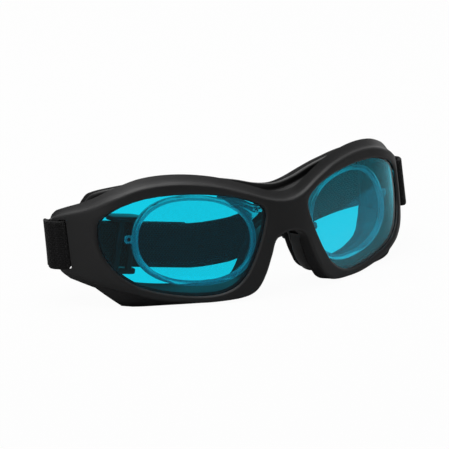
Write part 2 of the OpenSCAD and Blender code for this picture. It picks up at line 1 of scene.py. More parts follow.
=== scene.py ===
# %% [markdown]
# # Laser safety goggles
# This lesson dresses a pair of wrap-around laser goggles: a black nylon frame in two shells,
# blue polycarbonate filters, a clear corrective insert behind them and a knitted elastic strap.
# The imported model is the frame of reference. Smooth meshes stand for its faceted solids, in the
# same places, because every later piece has to meet its neighbours without any fitting.

# %% Load the frame
import math
import bmesh
import bpy
from mathutils import Matrix, Vector


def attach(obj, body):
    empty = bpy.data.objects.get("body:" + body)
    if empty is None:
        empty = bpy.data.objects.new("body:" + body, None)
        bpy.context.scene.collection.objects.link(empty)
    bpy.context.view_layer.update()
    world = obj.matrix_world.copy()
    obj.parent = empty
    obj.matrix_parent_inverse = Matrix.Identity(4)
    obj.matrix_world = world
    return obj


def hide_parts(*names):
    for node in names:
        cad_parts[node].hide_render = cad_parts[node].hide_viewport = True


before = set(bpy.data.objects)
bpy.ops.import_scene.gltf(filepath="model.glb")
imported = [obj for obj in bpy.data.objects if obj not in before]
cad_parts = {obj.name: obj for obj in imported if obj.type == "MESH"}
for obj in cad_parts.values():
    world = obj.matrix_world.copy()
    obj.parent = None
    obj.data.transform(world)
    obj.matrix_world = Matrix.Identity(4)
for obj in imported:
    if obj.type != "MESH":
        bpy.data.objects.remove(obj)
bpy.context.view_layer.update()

MM = 0.001
scene = bpy.context.scene
print("packed nodes:", len(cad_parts))

# %% [markdown]
# ## Camera
# A long lens far away keeps the two halves of the frame in nearly the same scale, as product
# pictures do. The view was found by matching the two lens outlines as a mirror pair: such a pair
# fixes the direction of the view, since each point and its twin must lie at the same depth.

# %% Camera
VIEW_AZIMUTH = math.radians(-36)
VIEW_HEIGHT = math.radians(15)
VIEW_DISTANCE = 1.5
VIEW_TARGET = Vector((0, 12.97, 16.5)) * MM
PICTURE_PX = 449
PX_PER_MM = 2.7
SENSOR_MM = 36


def show(name, data):
    """A scene object for a camera, a lamp or a mesh."""
    obj = bpy.data.objects.new(name, data)
    scene.collection.objects.link(obj)
    return obj


toward_camera = Vector((math.sin(VIEW_AZIMUTH) * math.cos(VIEW_HEIGHT),
                        -math.cos(VIEW_AZIMUTH) * math.cos(VIEW_HEIGHT),
                        math.sin(VIEW_HEIGHT)))
camera_data = bpy.data.cameras.new("camera")
camera_data.sensor_width = SENSOR_MM
camera_data.lens = VIEW_DISTANCE / MM * PX_PER_MM / PICTURE_PX * SENSOR_MM
camera = show("camera", camera_data)
camera.location = VIEW_TARGET + toward_camera * VIEW_DISTANCE
camera.rotation_euler = (-toward_camera).to_track_quat("-Z", "Y").to_euler()
scene.camera = camera
print("focal length:", round(camera_data.lens, 1), "mm")

# %% [markdown]
# ## Colours and nodes
# Colours are written as they look on a screen and turned to linear light by one function. One
# more function adds a node with its settings and links, for materials and for geometry alike.

# %% Colour and node helpers
def colour(code, level=1):
    """Linear RGBA from an sRGB hex value, made lighter or darker by a factor."""
    parts = [int(code[i:i + 2], 16) / 255 for i in (1, 3, 5)]
    linear = [p / 12.92 if p <= 0.04045 else ((p + 0.055) / 1.055) ** 2.4 for p in parts]
    return [p * level for p in linear] + [1]


def add(tree, kind, inputs=None, kept=(), **settings):
    """One node; an input takes a value, or the node or output that feeds it."""
    node = tree.nodes.new(kind)
    for name, value in settings.items():
        setattr(node, name, value)
    for name, data_type in kept:
        node.capture_items.new(data_type, name)
    for name, value in (inputs or {}).items():
        if isinstance(value, bpy.types.Node):
            value = value.outputs[0]
        if isinstance(value, bpy.types.NodeSocket):
            tree.links.new(value, node.inputs[name])
        else:
            node.inputs[name].default_value = value
    return node


def new_material(name):
    """An empty node material and its tree."""
    material = bpy.data.materials.new(name)
    material.use_nodes = True
    material.node_tree.nodes.clear()
    return material, material.node_tree


scene.view_settings.view_transform = "Standard"
print("a near black in linear light:", [round(c, 4) for c in colour("#1a1a1b")[:3]])

# %% [markdown]
# ## Light
# A black object in a white room shows its form by what it reflects: the top faces mirror the
# bright ceiling, and the front mirrors the dim side where the camera stands. So the world is white
# to the eye and behind the goggles, and dim elsewhere. A large soft lamp hangs above, and a small
# one at the left gives that side a gleam.

# %% World
DIM_SIDE = 0.14
DIM_FROM = -0.35
WHITE_FROM = -0.8
world = bpy.data.worlds.new("white_room")
scene.world = world
world.use_nodes = True
sky = world.node_tree
sky.nodes.clear()
direction = add(sky, "ShaderNodeTexCoord").outputs["Generated"]
facing = add(sky, "ShaderNodeVectorMath", {0: direction, 1: toward_camera}, operation="DOT_PRODUCT")
room = add(sky, "ShaderNodeMapRange", {"Value": facing.outputs["Value"], "From Min": DIM_FROM,
                                       "From Max": WHITE_FROM, "To Min": DIM_SIDE, "To Max": 1.0})
seen = add(sky, "ShaderNodeLightPath").outputs["Is Camera Ray"]
strength = add(sky, "ShaderNodeMapRange", {"Value": seen, "To Min": room})
white = add(sky, "ShaderNodeBackground", {"Color": (1, 1, 1, 1), "Strength": strength})
add(sky, "ShaderNodeOutputWorld", {"Surface": white})
print("light from the camera side:", DIM_SIDE)

# %% Lamps
def lamp(name, spot, size, watts):
    """A square soft box that points at the goggles."""
    data = bpy.data.lights.new(name, "AREA")
    data.size = size
    data.energy = watts
    box = show(name, data)
    box.location = spot
    box.rotation_euler = (VIEW_TARGET - Vector(spot)).to_track_quat("-Z", "Y").to_euler()


lamp("ceiling_box", (-0.05, 0.1, 0.75), 0.8, 5.0)
lamp("left_box", (-0.75, -0.35, 0.45), 0.5, 0.7)

# %% [markdown]
# ## Floor
# The floor is a white card. For the camera, and through the lenses, nearly all of its white is
# painted on, so that it meets the white world without a seam. The small part that is lit keeps the
# shadow. To all other rays it is light grey, so that it doesn't light the goggles from below.

# %% Floor
FLOOR_HALF = 3.0
FLOOR_GLOW = 0.96
CORNERS = ((-1, -1), (1, -1), (1, 1), (-1, 1))
material, tree = new_material("white_card")
path = add(tree, "ShaderNodeLightPath").outputs
seen = add(tree, "ShaderNodeMath", {0: path["Is Camera Ray"], 1: path["Is Transmission Ray"]},
           operation="MAXIMUM")
card = add(tree, "ShaderNodeMix", {0: seen, 6: colour("#b4b4b4"), 7: colour("#f7f7f7")},
           data_type="RGBA")
lit = add(tree, "ShaderNodeBsdfDiffuse", {"Color": card.outputs[2], "Roughness": 1.0})
glow = add(tree, "ShaderNodeEmission", {"Color": (1, 1, 1, 1), "Strength": 1.0})
share = add(tree, "ShaderNodeMath", {0: seen, 1: FLOOR_GLOW}, operation="MULTIPLY")
mixed = add(tree, "ShaderNodeMixShader", {0: share, 1: lit, 2: glow})
add(tree, "ShaderNodeOutputMaterial", {"Surface": mixed})
floor_mesh = bpy.data.meshes.new("floor")
floor_mesh.from_pydata([(x * FLOOR_HALF, y * FLOOR_HALF, 0) for x, y in CORNERS], [], [(0, 1, 2, 3)])
floor_mesh.materials.append(material)
floor = show("floor", floor_mesh)
print("floor:", 2 * FLOOR_HALF, "m wide")

# %% [markdown]
# ## Black nylon
# The frame is injection moulded nylon from a spark-eroded tool, which leaves a fine even grain
# and a dull sheen. The grain of such a tool is near 0.1 mm. It is drawn at 0.35 mm, and at 0.5 mm
# on the smoother sliders, because a finer one is lost in the picture.

# %% Moulded plastics
PLASTIC_INDEX = 1.53
CLOUD_SCALE = 90.0
ROUGHNESS_SPREAD = 0.05
DARKER = 0.85
LIGHTER = 1.15


def moulded(name, hex_code, roughness, grain_mm, depth_mm):
    """Plastic from a textured tool: an even grain, and a tone and roughness that wander a little."""
    material, tree = new_material(name)
    where = add(tree, "ShaderNodeTexCoord").outputs["Object"]
    grain = add(tree, "ShaderNodeTexNoise", {"Vector": where, "Scale": 1 / (grain_mm * MM),
                                             "Detail": 2.0, "Roughness": 0.6}).outputs["Fac"]
    cloud = add(tree, "ShaderNodeTexNoise", {"Vector": where, "Scale": CLOUD_SCALE,
                                             "Detail": 3.0}).outputs["Fac"]
    rough = add(tree, "ShaderNodeMapRange", {"Value": cloud, "From Min": 0.3, "From Max": 0.7,
                                             "To Min": roughness - ROUGHNESS_SPREAD,
                                             "To Max": roughness + ROUGHNESS_SPREAD})
    tone = add(tree, "ShaderNodeMix", {0: cloud, 6: colour(hex_code, DARKER), 7: colour(hex_code, LIGHTER)},
               data_type="RGBA").outputs[2]
    bump = add(tree, "ShaderNodeBump", {"Height": grain, "Distance": depth_mm * MM, "Strength": 0.5})
    skin = add(tree, "ShaderNodeBsdfPrincipled", {"Base Color": tone, "Roughness": rough,
                                                  "IOR": PLASTIC_INDEX, "Normal": bump})
    add(tree, "ShaderNodeOutputMaterial", {"Surface": skin})
    return material


FRAME_NYLON = moulded("nylon_moulded_matt_black", "#1a1a1b", 0.46, 0.35, 0.03)
SHELL_NYLON = moulded("nylon_moulded_inner_black", "#131314", 0.45, 0.35, 0.02)
SLIDER_ACETAL = moulded("acetal_moulded_satin_black", "#141415", 0.38, 0.5, 0.01)
print("moulded plastics:", FRAME_NYLON.name, SHELL_NYLON.name, SLIDER_ACETAL.name)

# %% [markdown]
# ## Rubber and foam
# The nose pads are cast silicone, smooth and a little glossy. The gaskets are cut from matt
# sheet, and their colour is darker than black rubber: painted shade for the deep groove round
# each lens. The cushion is closed-cell foam: its skin is dull, with pores that open where it was cut.

# %% Rubber and foam
WAVE_SCALE = 500.0
RUBBER_INDEX = 1.43


def soft(name, hex_code, roughness):
    """Cast rubber, gasket sheet or thread, with a faint unevenness of 2 mm."""
    material, tree = new_material(name)
    where = add(tree, "ShaderNodeTexCoord").outputs["Object"]
    waves = add(tree, "ShaderNodeTexNoise", {"Vector": where, "Scale": WAVE_SCALE, "Detail": 2.0})
    bump = add(tree, "ShaderNodeBump", {"Height": waves.outputs["Fac"], "Distance": 0.04 * MM,
                                        "Strength": 0.4})
    skin = add(tree, "ShaderNodeBsdfPrincipled", {"Base Color": colour(hex_code), "IOR": RUBBER_INDEX,
                                                  "Roughness": roughness, "Normal": bump})
    add(tree, "ShaderNodeOutputMaterial", {"Surface": skin})
    return material


def foam(name, hex_code, pore_mm):
    """Closed-cell foam: small round pores of two sizes, painted darker towards their middles as shade, and
    no shine.
    """
    material, tree = new_material(name)
    where = add(tree, "ShaderNodeTexCoord").outputs["Object"]
    pores = add(tree, "ShaderNodeTexVoronoi", {"Vector": where,
                                               "Scale": 1 / (pore_mm * MM)}).outputs["Distance"]
    specks = add(tree, "ShaderNodeTexNoise", {"Vector": where, "Scale": 2 / (pore_mm * MM),
                                              "Detail": 3.0}).outputs["Fac"]
    height = add(tree, "ShaderNodeMath", {0: pores, 1: specks}, operation="ADD")
    # The colour darkens towards each pore's middle, where the bump sinks: painted shade in the hollows.
    tone = add(tree, "ShaderNodeMix", {0: pores, 6: colour(hex_code, 0.5), 7: colour(hex_code, 1.5)},
               data_type="RGBA").outputs[2]
    bump = add(tree, "ShaderNodeBump", {"Height": height, "Distance": 0.12 * MM, "Strength": 0.7})
    skin = add(tree, "ShaderNodeBsdfPrincipled", {"Base Color": tone, "Roughness": 0.9, "IOR": 1.5,
                                                  "Specular IOR Level": 0.25, "Normal": bump})
    add(tree, "ShaderNodeOutputMaterial", {"Surface": skin})
    return material


PAD_SILICONE = soft("silicone_cast_black", "#0c0c0d", 0.22)
# The gasket colour is darker than black rubber: painted shade for the groove round each lens.
SEAL_RUBBER_AND_SHADE = soft("rubber_gasket_painted_shade", "#080808", 0.75)
CUSHION_FOAM = foam("foam_closed_cell_charcoal", "#1a1a1b", 0.6)
print("soft finishes:", PAD_SILICONE.name, SEAL_RUBBER_AND_SHADE.name, CUSHION_FOAM.name)

# %% [markdown]
# ## Clear plastics
# A laser filter is polycarbonate with a dye through its whole thickness. The tint belongs to the
# glass shader, and lamps pass it as tinted light: plain glass would shut the inside in the dark.
# The insert is clear nylon with polished walls, and its lenses are coated against reflections.

# %% Clear plastics
def clear_plastic(name, hex_code, index, roughness=0.0, clearness=1.0, mirror=0.5):
    """Tinted glass that lets the lamps through; a coating lowers its mirror level."""
    material, tree = new_material(name)
    glass = add(tree, "ShaderNodeBsdfPrincipled", {"Base Color": colour(hex_code), "Roughness": roughness,
                                                   "IOR": index, "Transmission Weight": clearness,
                                                   "Specular IOR Level": mirror})
    one_face = [math.sqrt(c) for c in colour(hex_code)]
    lamplight = add(tree, "ShaderNodeBsdfTransparent", {"Color": one_face})
    shadow = add(tree, "ShaderNodeLightPath").outputs["Is Shadow Ray"]
    mixed = add(tree, "ShaderNodeMixShader", {0: shadow, 1: glass, 2: lamplight})
    add(tree, "ShaderNodeOutputMaterial", {"Surface": mixed})
    return material


FILTER_PC = clear_plastic("polycarbonate_dyed_cyan", "#02d4ef", 1.585)
CARRIER_CLEAR = clear_plastic("nylon_clear_polished", "#f4fafb", 1.51, 0.14, 0.74)
LENS_CLEAR = clear_plastic("lens_clear_coated", "#f6fbfc", 1.5, mirror=0.1)
print("clear plastics:", FILTER_PC.name, CARRIER_CLEAR.name, LENS_CLEAR.name)

# %% [markdown]
# ## Steel
# The two bridge screws are small zinc plated steel screws, the only metal on the object. Plated
# threads have a soft shine with fine scratches from the driver.

# %% Steel
SCREW_STEEL, tree = new_material("steel_zinc_plated")
where = add(tree, "ShaderNodeTexCoord").outputs["Object"]
scratches = add(tree, "ShaderNodeTexNoise", {"Vector": where, "Scale": 4000.0, "Detail": 2.0})
rough = add(tree, "ShaderNodeMapRange", {"Value": scratches.outputs["Fac"], "To Min": 0.25,
                                         "To Max": 0.45})
steel = add(tree, "ShaderNodeBsdfPrincipled", {"Base Color": colour("#a3a6ab"), "Metallic": 1.0,
                                               "Roughness": rough})
add(tree, "ShaderNodeOutputMaterial", {"Surface": steel})
print("metal:", SCREW_STEEL.name)

# %% [markdown]
# ## The wrap of the face
# The front of the goggles is one sheet bent round the head: flat across the bridge, turned by 18
# degrees at the lenses and by 52 at the temples, and leaning back a little. Each piece is drawn
# as a front view on that sheet, at a depth behind it, so its pieces nest by themselves.

# %% Plan of the face
LENS_W = 58.6
LENS_H = 36.5
LENS_IN = 9.7
LENS_LOW = 3.1
LENS_SWEEP = 18
WING_SWEEP = 52
BRIDGE_TURN = 12
WING_TURN = 18
FACE_LEAN = math.radians(11.3)
FRONT_Y = -28.93
PLAN_STEP = 0.25
PLAN_HALF = 110
LENS_OUT = LENS_IN + LENS_W
LENS_MID = LENS_IN + LENS_W / 2
LEAN = math.tan(FACE_LEAN)
LEAN_Z = LENS_LOW + 0.53 * LENS_H
WING_START = LENS_OUT - WING_TURN
WING_END = LENS_OUT + WING_TURN * 0.42


def smooth(u):
    """An even rise from 0 to 1."""
    v = max(0.0, min(1.0, u))
    return v * v * (3 - 2 * v)


def sweep(x):
    """Turn of the face at a distance from the middle, in radians."""
    turn = LENS_SWEEP * smooth(abs(x) / BRIDGE_TURN)
    turn += (WING_SWEEP - LENS_SWEEP) * smooth((abs(x) - WING_START) / (WING_END - WING_START))
    return math.radians(turn)


plan = [FRONT_Y]
while len(plan) * PLAN_STEP < PLAN_HALF:
    plan.append(plan[-1] + PLAN_STEP * math.tan(sweep((len(plan) - 0.5) * PLAN_STEP)))


def face_y(x):
    """The plan of the face, read between its steps."""
    i, f = divmod(abs(x) / PLAN_STEP, 1)
    return plan[int(i)] * (1 - f) + plan[int(i) + 1] * f


def at(p, depth):
    """A point of the front view, at a depth behind the face."""
    a = sweep(p[0])
    y = face_y(p[0]) + LEAN * (p[1] - LEAN_Z) + depth * math.cos(a)
    return Vector((p[0] - depth * math.sin(a), y, p[1]))


print("face at the lens edge:", [round(v, 1) for v in at((LENS_OUT, LEAN_Z), 0)])

# %% [markdown]
# ## Outlines
# Three outlines carry the frame: the lens opening, the crease round the front face, and the rim
# at the wearer's face. Each is a short list of given points, joined by a smooth curve
# whose direction at a point runs along its neighbours. Both halves share them by mirroring.

# %% Curve through points
def between(a, b, leaving, arriving, reach, s):
    """A smooth step from one point to the next, with the directions at both."""
    return ((1 + 2 * s) * (1 - s) ** 2 * a + s * (1 - s) ** 2 * reach * leaving
            + s * s * (3 - 2 * s) * b + s * s * (s - 1) * reach * arriving)


def heading(points, i, closed):
    """Direction at a point; an open outline leaves and meets the middle square to it."""
    if not closed and i in (0, len(points) - 1):
        return Vector((1 if i == 0 else -1, 0))
    return (points[(i + 1) % len(points)] - points[i - 1]).normalized()


def curve(points, t, closed=False):
    """The point at station t, where whole numbers are the given points."""
    n = len(points)
    i = int(t) % n if closed else min(int(t), n - 2)
    s = t - int(t) if closed else t - i
    j = (i + 1) % n
    a, b = points[i], points[j]
    return between(a, b, heading(points, i, closed), heading(points, j, closed), (b - a).length, s)


def inward(points, t, closed=False):
    """Unit vector to the inside of an outline that runs clockwise."""
    n, e = len(points), 0.05
    if not closed and t in (0, n - 1):
        return Vector((0, -1)) if t == 0 else Vector((0, 1))
    a = curve(points, (t + n - e) % n if closed else max(t - e, 0), closed)
    b = curve(points, (t + e) % n if closed else min(t + e, n - 1), closed)
    d = (b - a).normalized()
    return Vector((d.y, -d.x))


def inset(points, t, width, closed=False):
    """A point a width inside an outline."""
    return curve(points, t, closed) + width * inward(points, t, closed)


print("an outline leaves the middle along", list(heading([Vector((0, 0))] * 2, 0, False)))

# %% Lens opening and crease
BROW_Z = LENS_LOW + LENS_H + 4.1
BRIDGE_Z = 34.4
ARCH_Z = 23
WING_X = LENS_OUT + 11.5
WING_Z = 22.5
WING_TOP = WING_Z + 10
WING_LOW = WING_Z - 10
OPENING_PERCENT = [
    (1.5, 81.6), (6.5, 86.8), (16.7, 92.9), (33, 97.8), (53.4, 100), (72.2, 98.4), (86.7, 92), (95, 84),
    (98.5, 78), (99.7, 72.6), (100, 57.3), (98.8, 46.3), (97, 38.6), (92, 26), (86, 18), (80.7, 13),
    (67, 5.8), (48.3, 0.4), (33.8, 0.5), (23.5, 6), (16.4, 15.6), (11, 28.8), (6.3, 44), (3.1, 56.7),
    (1.2, 66.3), (0.2, 72), (0.2, 77.3)]
opening = [Vector((LENS_IN + u * LENS_W / 100, LENS_LOW + v * LENS_H / 100))
           for u, v in OPENING_PERCENT]
crease = [Vector(p) for p in (
    (0, BRIDGE_Z), (LENS_IN - 2.7, BRIDGE_Z + 1), (LENS_IN + 7.3, BRIDGE_Z + 4.5),
    (LENS_MID - 11, BROW_Z - 1.6), (LENS_MID + 2, BROW_Z), (LENS_OUT - 15.3, BROW_Z - 0.7),
    (LENS_OUT - 5.8, BROW_Z - 3.8), (WING_X - 9.5, WING_TOP + 3.3), (WING_X - 2, WING_TOP),
    (WING_X - 0.4, WING_TOP - 2), (WING_X, WING_Z - 1),
    (WING_X - 1.2, WING_LOW + 1.2), (WING_X - 3.4, WING_LOW - 0.3), (LENS_OUT + 2.4, WING_LOW - 3.5),
    (LENS_OUT - 2.6, LENS_LOW + 3.9), (LENS_OUT - 8.3, LENS_LOW + 2.3), (LENS_OUT - 16.3, LENS_LOW),
    (LENS_MID - 1, LENS_LOW - 2.3), (LENS_IN + 17.3, LENS_LOW - 2.4), (LENS_IN + 9.6, LENS_LOW - 1.4),
    (LENS_IN + 5.6, LENS_LOW + 0.9), (LENS_IN + 2.2, LENS_LOW + 5.9), (LENS_IN - 0.8, LENS_LOW + 12.5),
    (LENS_IN - 3.5, ARCH_Z - 2), (0, ARCH_Z))]
last = len(crease) - 1
print("outline points:", len(opening), "and", len(crease))

# %% Rear rim
RIM_HALF = 65
RIM_RISE = 0.2
RIM_Y = FRONT_Y + 12.6
FACE_R = 88
rim = [Vector(p) for p in (
    (0, BRIDGE_Z + 4.3), (LENS_IN - 1.7, BRIDGE_Z + 5.5), (LENS_IN + 7.3, BRIDGE_Z + 7.9),
    (LENS_MID - 12, BROW_Z + RIM_RISE - 0.2), (LENS_MID, BROW_Z + RIM_RISE),
    (RIM_HALF - 15, BROW_Z + RIM_RISE - 1.4), (RIM_HALF - 7.4, BROW_Z - 3.2),
    (RIM_HALF - 3.1, BROW_Z - 5.1), (RIM_HALF - 1.2, BROW_Z - 7.9),
    (RIM_HALF - 0.4, WING_TOP + 0.1), (RIM_HALF, WING_Z + 1.9), (RIM_HALF - 0.4, WING_LOW + 3.4),
    (RIM_HALF - 1.2, WING_LOW), (RIM_HALF - 4, LENS_LOW + 4.4), (RIM_HALF - 7.5, LENS_LOW + 1.3),
    (RIM_HALF - 12, LENS_LOW - 0.5), (RIM_HALF - 20, LENS_LOW - 1.7), (LENS_MID - 4, LENS_LOW - 2.1),
    (LENS_IN + 16.8, LENS_LOW - 1.7), (LENS_IN + 9.2, LENS_LOW - 0.9), (LENS_IN + 4.9, LENS_LOW + 1.1),
    (LENS_IN + 2, LENS_LOW + 5.3), (LENS_IN - 1.3, LENS_LOW + 12.1), (LENS_IN - 3.9, ARCH_Z - 2.5),
    (0, ARCH_Z - 0.4))]


def on_rim(p, dy):
    """A point of the front view on the curved rim that follows the face."""
    return Vector((p[0], RIM_Y + FACE_R - math.sqrt(FACE_R ** 2 - p[0] ** 2) + dy, p[1]))


print("rim runs back to y =", round(on_rim(rim[10], 0).y, 1), "mm")

# %% [markdown]
# ## Mesh helpers
# Most pieces here are tubes of cross-sections. A closed section is rounded at its corners first,
# since a moulded edge always has a small radius, and that radius is what catches the light.

# %% Rounded sections
def fillet(points, radii, steps=3):
    """A closed section whose corners are rounded by the given radii, in mm."""
    result = []
    for i, (p, r) in enumerate(zip(points, radii)):
        before, after = points[i - 1] - p, points[(i + 1) % len(points)] - p
        a = p + before.normalized() * min(r, before.length * 0.45)
        b = p + after.normalized() * min(r, after.length * 0.45)
        for k in range(steps + 1):
            s = k / steps
            result.append((1 - s) ** 2 * a + 2 * s * (1 - s) * p + s * s * b)
    return result


print("points in a rounded square:", len(fillet([Vector(c) for c in CORNERS], [0.2] * 4)))

# %% Meshes
MERGE_MM = 0.002


def finish_mesh(mesh, angle):
    """Merges doubles, turns the faces outwards and keeps only true edges sharp."""
    work = bmesh.new()
    work.from_mesh(mesh)
    bmesh.ops.remove_doubles(work, verts=work.verts, dist=MERGE_MM * MM)
    bmesh.ops.dissolve_degenerate(work, edges=work.edges, dist=MERGE_MM / 2 * MM)
    bmesh.ops.recalc_face_normals(work, faces=work.faces)
    work.to_mesh(mesh)
    work.free()
    mesh.shade_smooth()
    mesh.set_sharp_from_angle(angle=math.radians(angle))


def piece(name, points, faces, material, angle=40):
    """An object from points in mm."""
    mesh = bpy.data.meshes.new(name)
    mesh.from_pydata([Vector(p) * MM for p in points], [], faces)
    finish_mesh(mesh, angle)
    mesh.materials.append(material)
    return show(name, mesh)


def tube(name, sections, material, closed=True, angle=40):
    """A piece from a run of closed sections, capped where the run is open."""
    n, size = len(sections), len(sections[0])
    faces = [(i * size + j, i * size + (j + 1) % size, (i + 1) % n * size + (j + 1) % size,
              (i + 1) % n * size + j) for i in range(n if closed else n - 1) for j in range(size)]
    if not closed:
        faces += [tuple(range(size)), tuple(range((n - 1) * size, n * size))]
    return piece(name, [p for s in sections for p in s], faces, material, angle)


def mirrored(points):
    """The same points on the other side of the face."""
    return [Vector((-p[0], p[1], p[2])) for p in points]


print("points closer than", MERGE_MM, "mm are merged")

# %% Cutting, joining and placing
def bake(obj):
    """Turns a piece with its modifiers into a plain mesh."""
    depsgraph = bpy.context.evaluated_depsgraph_get()
    mesh = bpy.data.meshes.new_from_object(obj.evaluated_get(depsgraph))
    obj.modifiers.clear()
    old, obj.data = obj.data, mesh
    bpy.data.meshes.remove(old)
    mesh.name = obj.name


def combine(obj, tool, operation):
    """Cuts or joins a tool into a piece and removes the tool."""
    step = obj.modifiers.new("combine", "BOOLEAN")
    step.operation = operation
    step.solver = "EXACT"
    step.object = tool
    bake(obj)
    bpy.data.objects.remove(tool)


def place(obj, body, slot, *nodes):
    """Puts a finished piece on its body, in the place of its CAD nodes."""
    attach(obj, body)
    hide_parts(*nodes)
    print(obj.name, "faces:", len(obj.data.polygons))


# %% [markdown]
# ## Front frame
# The front is a skin over the wrapped sheet. At each station round the lens opening it runs from
# the seat behind the lens over the bevelled lip, across the face to the crease, and back along
# the top to the rear edge. The last stations have no crease: they meet the other half mid-bridge.

# %% Front frame sizes
LENS_RECESS = 1.0
LENS_T = 1.6
LENS_SEAT = 1.2
SEAL_T = 0.4
LIP_T = 1.2
CREASE_R = 1.1
BEVEL = 0.8
TOP_RISE = 2.7
TOP_D = 3.2
PLATE_T = LENS_RECESS + LENS_T + SEAL_T
ROWS = 6
LIP_EDGE = [(0, TOP_RISE, TOP_D)] * 7 + [
    (0, TOP_RISE * 0.9, TOP_D), (0.2, TOP_RISE * 0.6, PLATE_T + 0.1), (0.2, 0.5, PLATE_T),
    (0.2, 0, PLATE_T), (0.2, -0.7, PLATE_T), (0.3, -2.4, PLATE_T + 0.4), (0.4, -2.2, 4.2),
    (1.7, -4, 4.8), (4.3, -5.2, 5.6), (0, -3.8, 5.7), (0, -1.8, 5.9), (0, -0.7, 5.9),
    (-0.2, -0.4, 5.5), (-0.4, -0.4, 5.5), (-0.5, -0.2, 5), (-0.5, 0, 4.5), (-0.3, -0.2, 4.2),
    (0, -0.2, 4)]
CREASE_BACK = [0] * 7 + [0.3, 0.7, 0.8, 0.8, 1, 1, 1.1, 1.2, 0.7, 0.1] + [0] * 8
CURL_START = 0.85
CURL_MORE = 0.15


def blend_row(rows, t):
    """A row of a table, read between its stations."""
    i = min(int(t), len(rows) - 2)
    return Vector(rows[i]).lerp(Vector(rows[i + 1]), t - i)


def back_off(t):
    """How far the crease lies behind the face, which curls back at the wing and over the flare."""
    i = min(int(t), last - 1)
    return 0 if t > last else CREASE_BACK[i] + (t - i) * (CREASE_BACK[i + 1] - CREASE_BACK[i])


stations = len(opening) * ROWS
print("stations round an opening:", stations)

# %% Front frame sections
ARC_STEPS = 4
FACE_STOPS = (0.12, 0.35, 0.65, 0.9)
TOP_STOPS = (0.15, 0.5, 0.85, 0.97)


def mid_bridge(t, margin):
    """A point in the middle of the bridge, at least a margin from its top and its arch."""
    z = ARCH_Z + (BRIDGE_Z - ARCH_Z) * (t - last) / (len(opening) - last)
    return Vector((0, max(ARCH_Z + margin, min(BRIDGE_Z - margin, z))))


def crease_arc(t):
    """Front view points and depths round the crease, from the face to the side."""
    if t > last:
        return [(mid_bridge(t, CREASE_R), 0)] * (ARC_STEPS + 1)
    arc = []
    for k in range(ARC_STEPS + 1):
        a = math.pi / 2 * k / ARC_STEPS
        curl = CURL_START + CURL_MORE * k / ARC_STEPS
        depth = CREASE_R * (1 - math.cos(a)) + back_off(t) * curl
        arc.append((inset(crease, t, CREASE_R * (1 - math.sin(a))), depth))
    return arc


def back_line(t):
    """Inner edge of the back face."""
    return mid_bridge(t, LIP_T) if t > last else inset(crease, t, LIP_T)


def front_section(t):
    """From the back face over the lens seat and the bevelled lip to the crease."""
    edge = curve(opening, t, True)
    seat = inset(opening, t, -LENS_SEAT, True)
    lip = inset(opening, t, -BEVEL, True)
    back, arc = back_line(t), crease_arc(t)
    points = [at(back, PLATE_T), at(back.lerp(seat, 0.5), PLATE_T), at(seat, PLATE_T),
              at(seat, LENS_RECESS), at(edge, LENS_RECESS), at(edge, BEVEL * 0.75),
              at(edge.lerp(lip, 0.25), BEVEL * 0.45), at(edge.lerp(lip, 0.6), BEVEL * 0.15), at(lip, 0)]
    points += [at(lip.lerp(arc[0][0], f), CURL_START * back_off(t) * f ** 1.3) for f in FACE_STOPS]
    return points + [at(p, d) for p, d in arc]


def lip_section(t):
    """From behind the crease over the top face to the rear edge and its inner side."""
    start, start_depth = crease_arc(t)[-1]
    shift_x, shift_z, depth = blend_row(LIP_EDGE, t)
    s = Vector((shift_x, shift_z))
    run = [at(start + f * s, start_depth + (0.1 + 0.9 * f) * (depth - start_depth)) for f in TOP_STOPS]
    return run + [at(start + s * 0.99 + 0.25 * inward(crease, t), depth), at(back_line(t) + s, depth)]


print("points in a section:", len(front_section(0)), "+", len(lip_section(0)))

# %% Front frame mesh
def half_frame():
    """Points and faces of the right half."""
    open_stations = last * ROWS + 1
    face = [front_section(i / ROWS) for i in range(stations)]
    lips = [lip_section(i / ROWS) for i in range(open_stations)]
    columns = [[s[k] for s in run] for run in (face, lips) for k in range(len(run[0]))]
    starts = [sum(len(c) for c in columns[:k]) for k in range(len(columns))]
    faces = []
    for k, start in enumerate(starts):
        following = starts[(k + 1) % len(starts)]
        whole = k < len(face[0]) - 1
        for i in range(stations if whole else open_stations - 1):
            j = (i + 1) % stations
            faces.append((start + i, start + j, following + j, following + i))
    return [p for c in columns for p in c], faces


points, faces = half_frame()
in_middle = [all(abs(points[v].x) < 0.0001 for v in f) for f in faces]
faces = [f for f, skip in zip(faces, in_middle) if not skip]
twin = [tuple(v + len(points) for v in reversed(f)) for f in faces]
front = piece("front_frame_shell", points + mirrored(points), faces + twin, FRAME_NYLON)
print("front frame faces:", len(front.data.polygons))

# %% [markdown]
# The strap slots are cut right through the temple wings. A moulded slot has rounded corners, so
# the cutter is a rounded bar, leaning and turned like the wing. The flares are flat where they stand.

# %% Strap slots and flat feet
SLOT_W = 3.2
SLOT_H = 18
SLOT_R = 1.1
SLOT_BAR = 3.8
SLOT_S = -SLOT_BAR - SLOT_W / 2
wing_turned = math.radians(WING_SWEEP)
tip = Vector((WING_X, face_y(WING_X)))
along_wing = Vector((math.cos(wing_turned), math.sin(wing_turned)))
off_wing = Vector((-math.sin(wing_turned), math.cos(wing_turned)))


def wing(s, depth):
    """A point in plan: s along the wing from its tip, at a depth behind its face."""
    return tip + s * along_wing + depth * off_wing


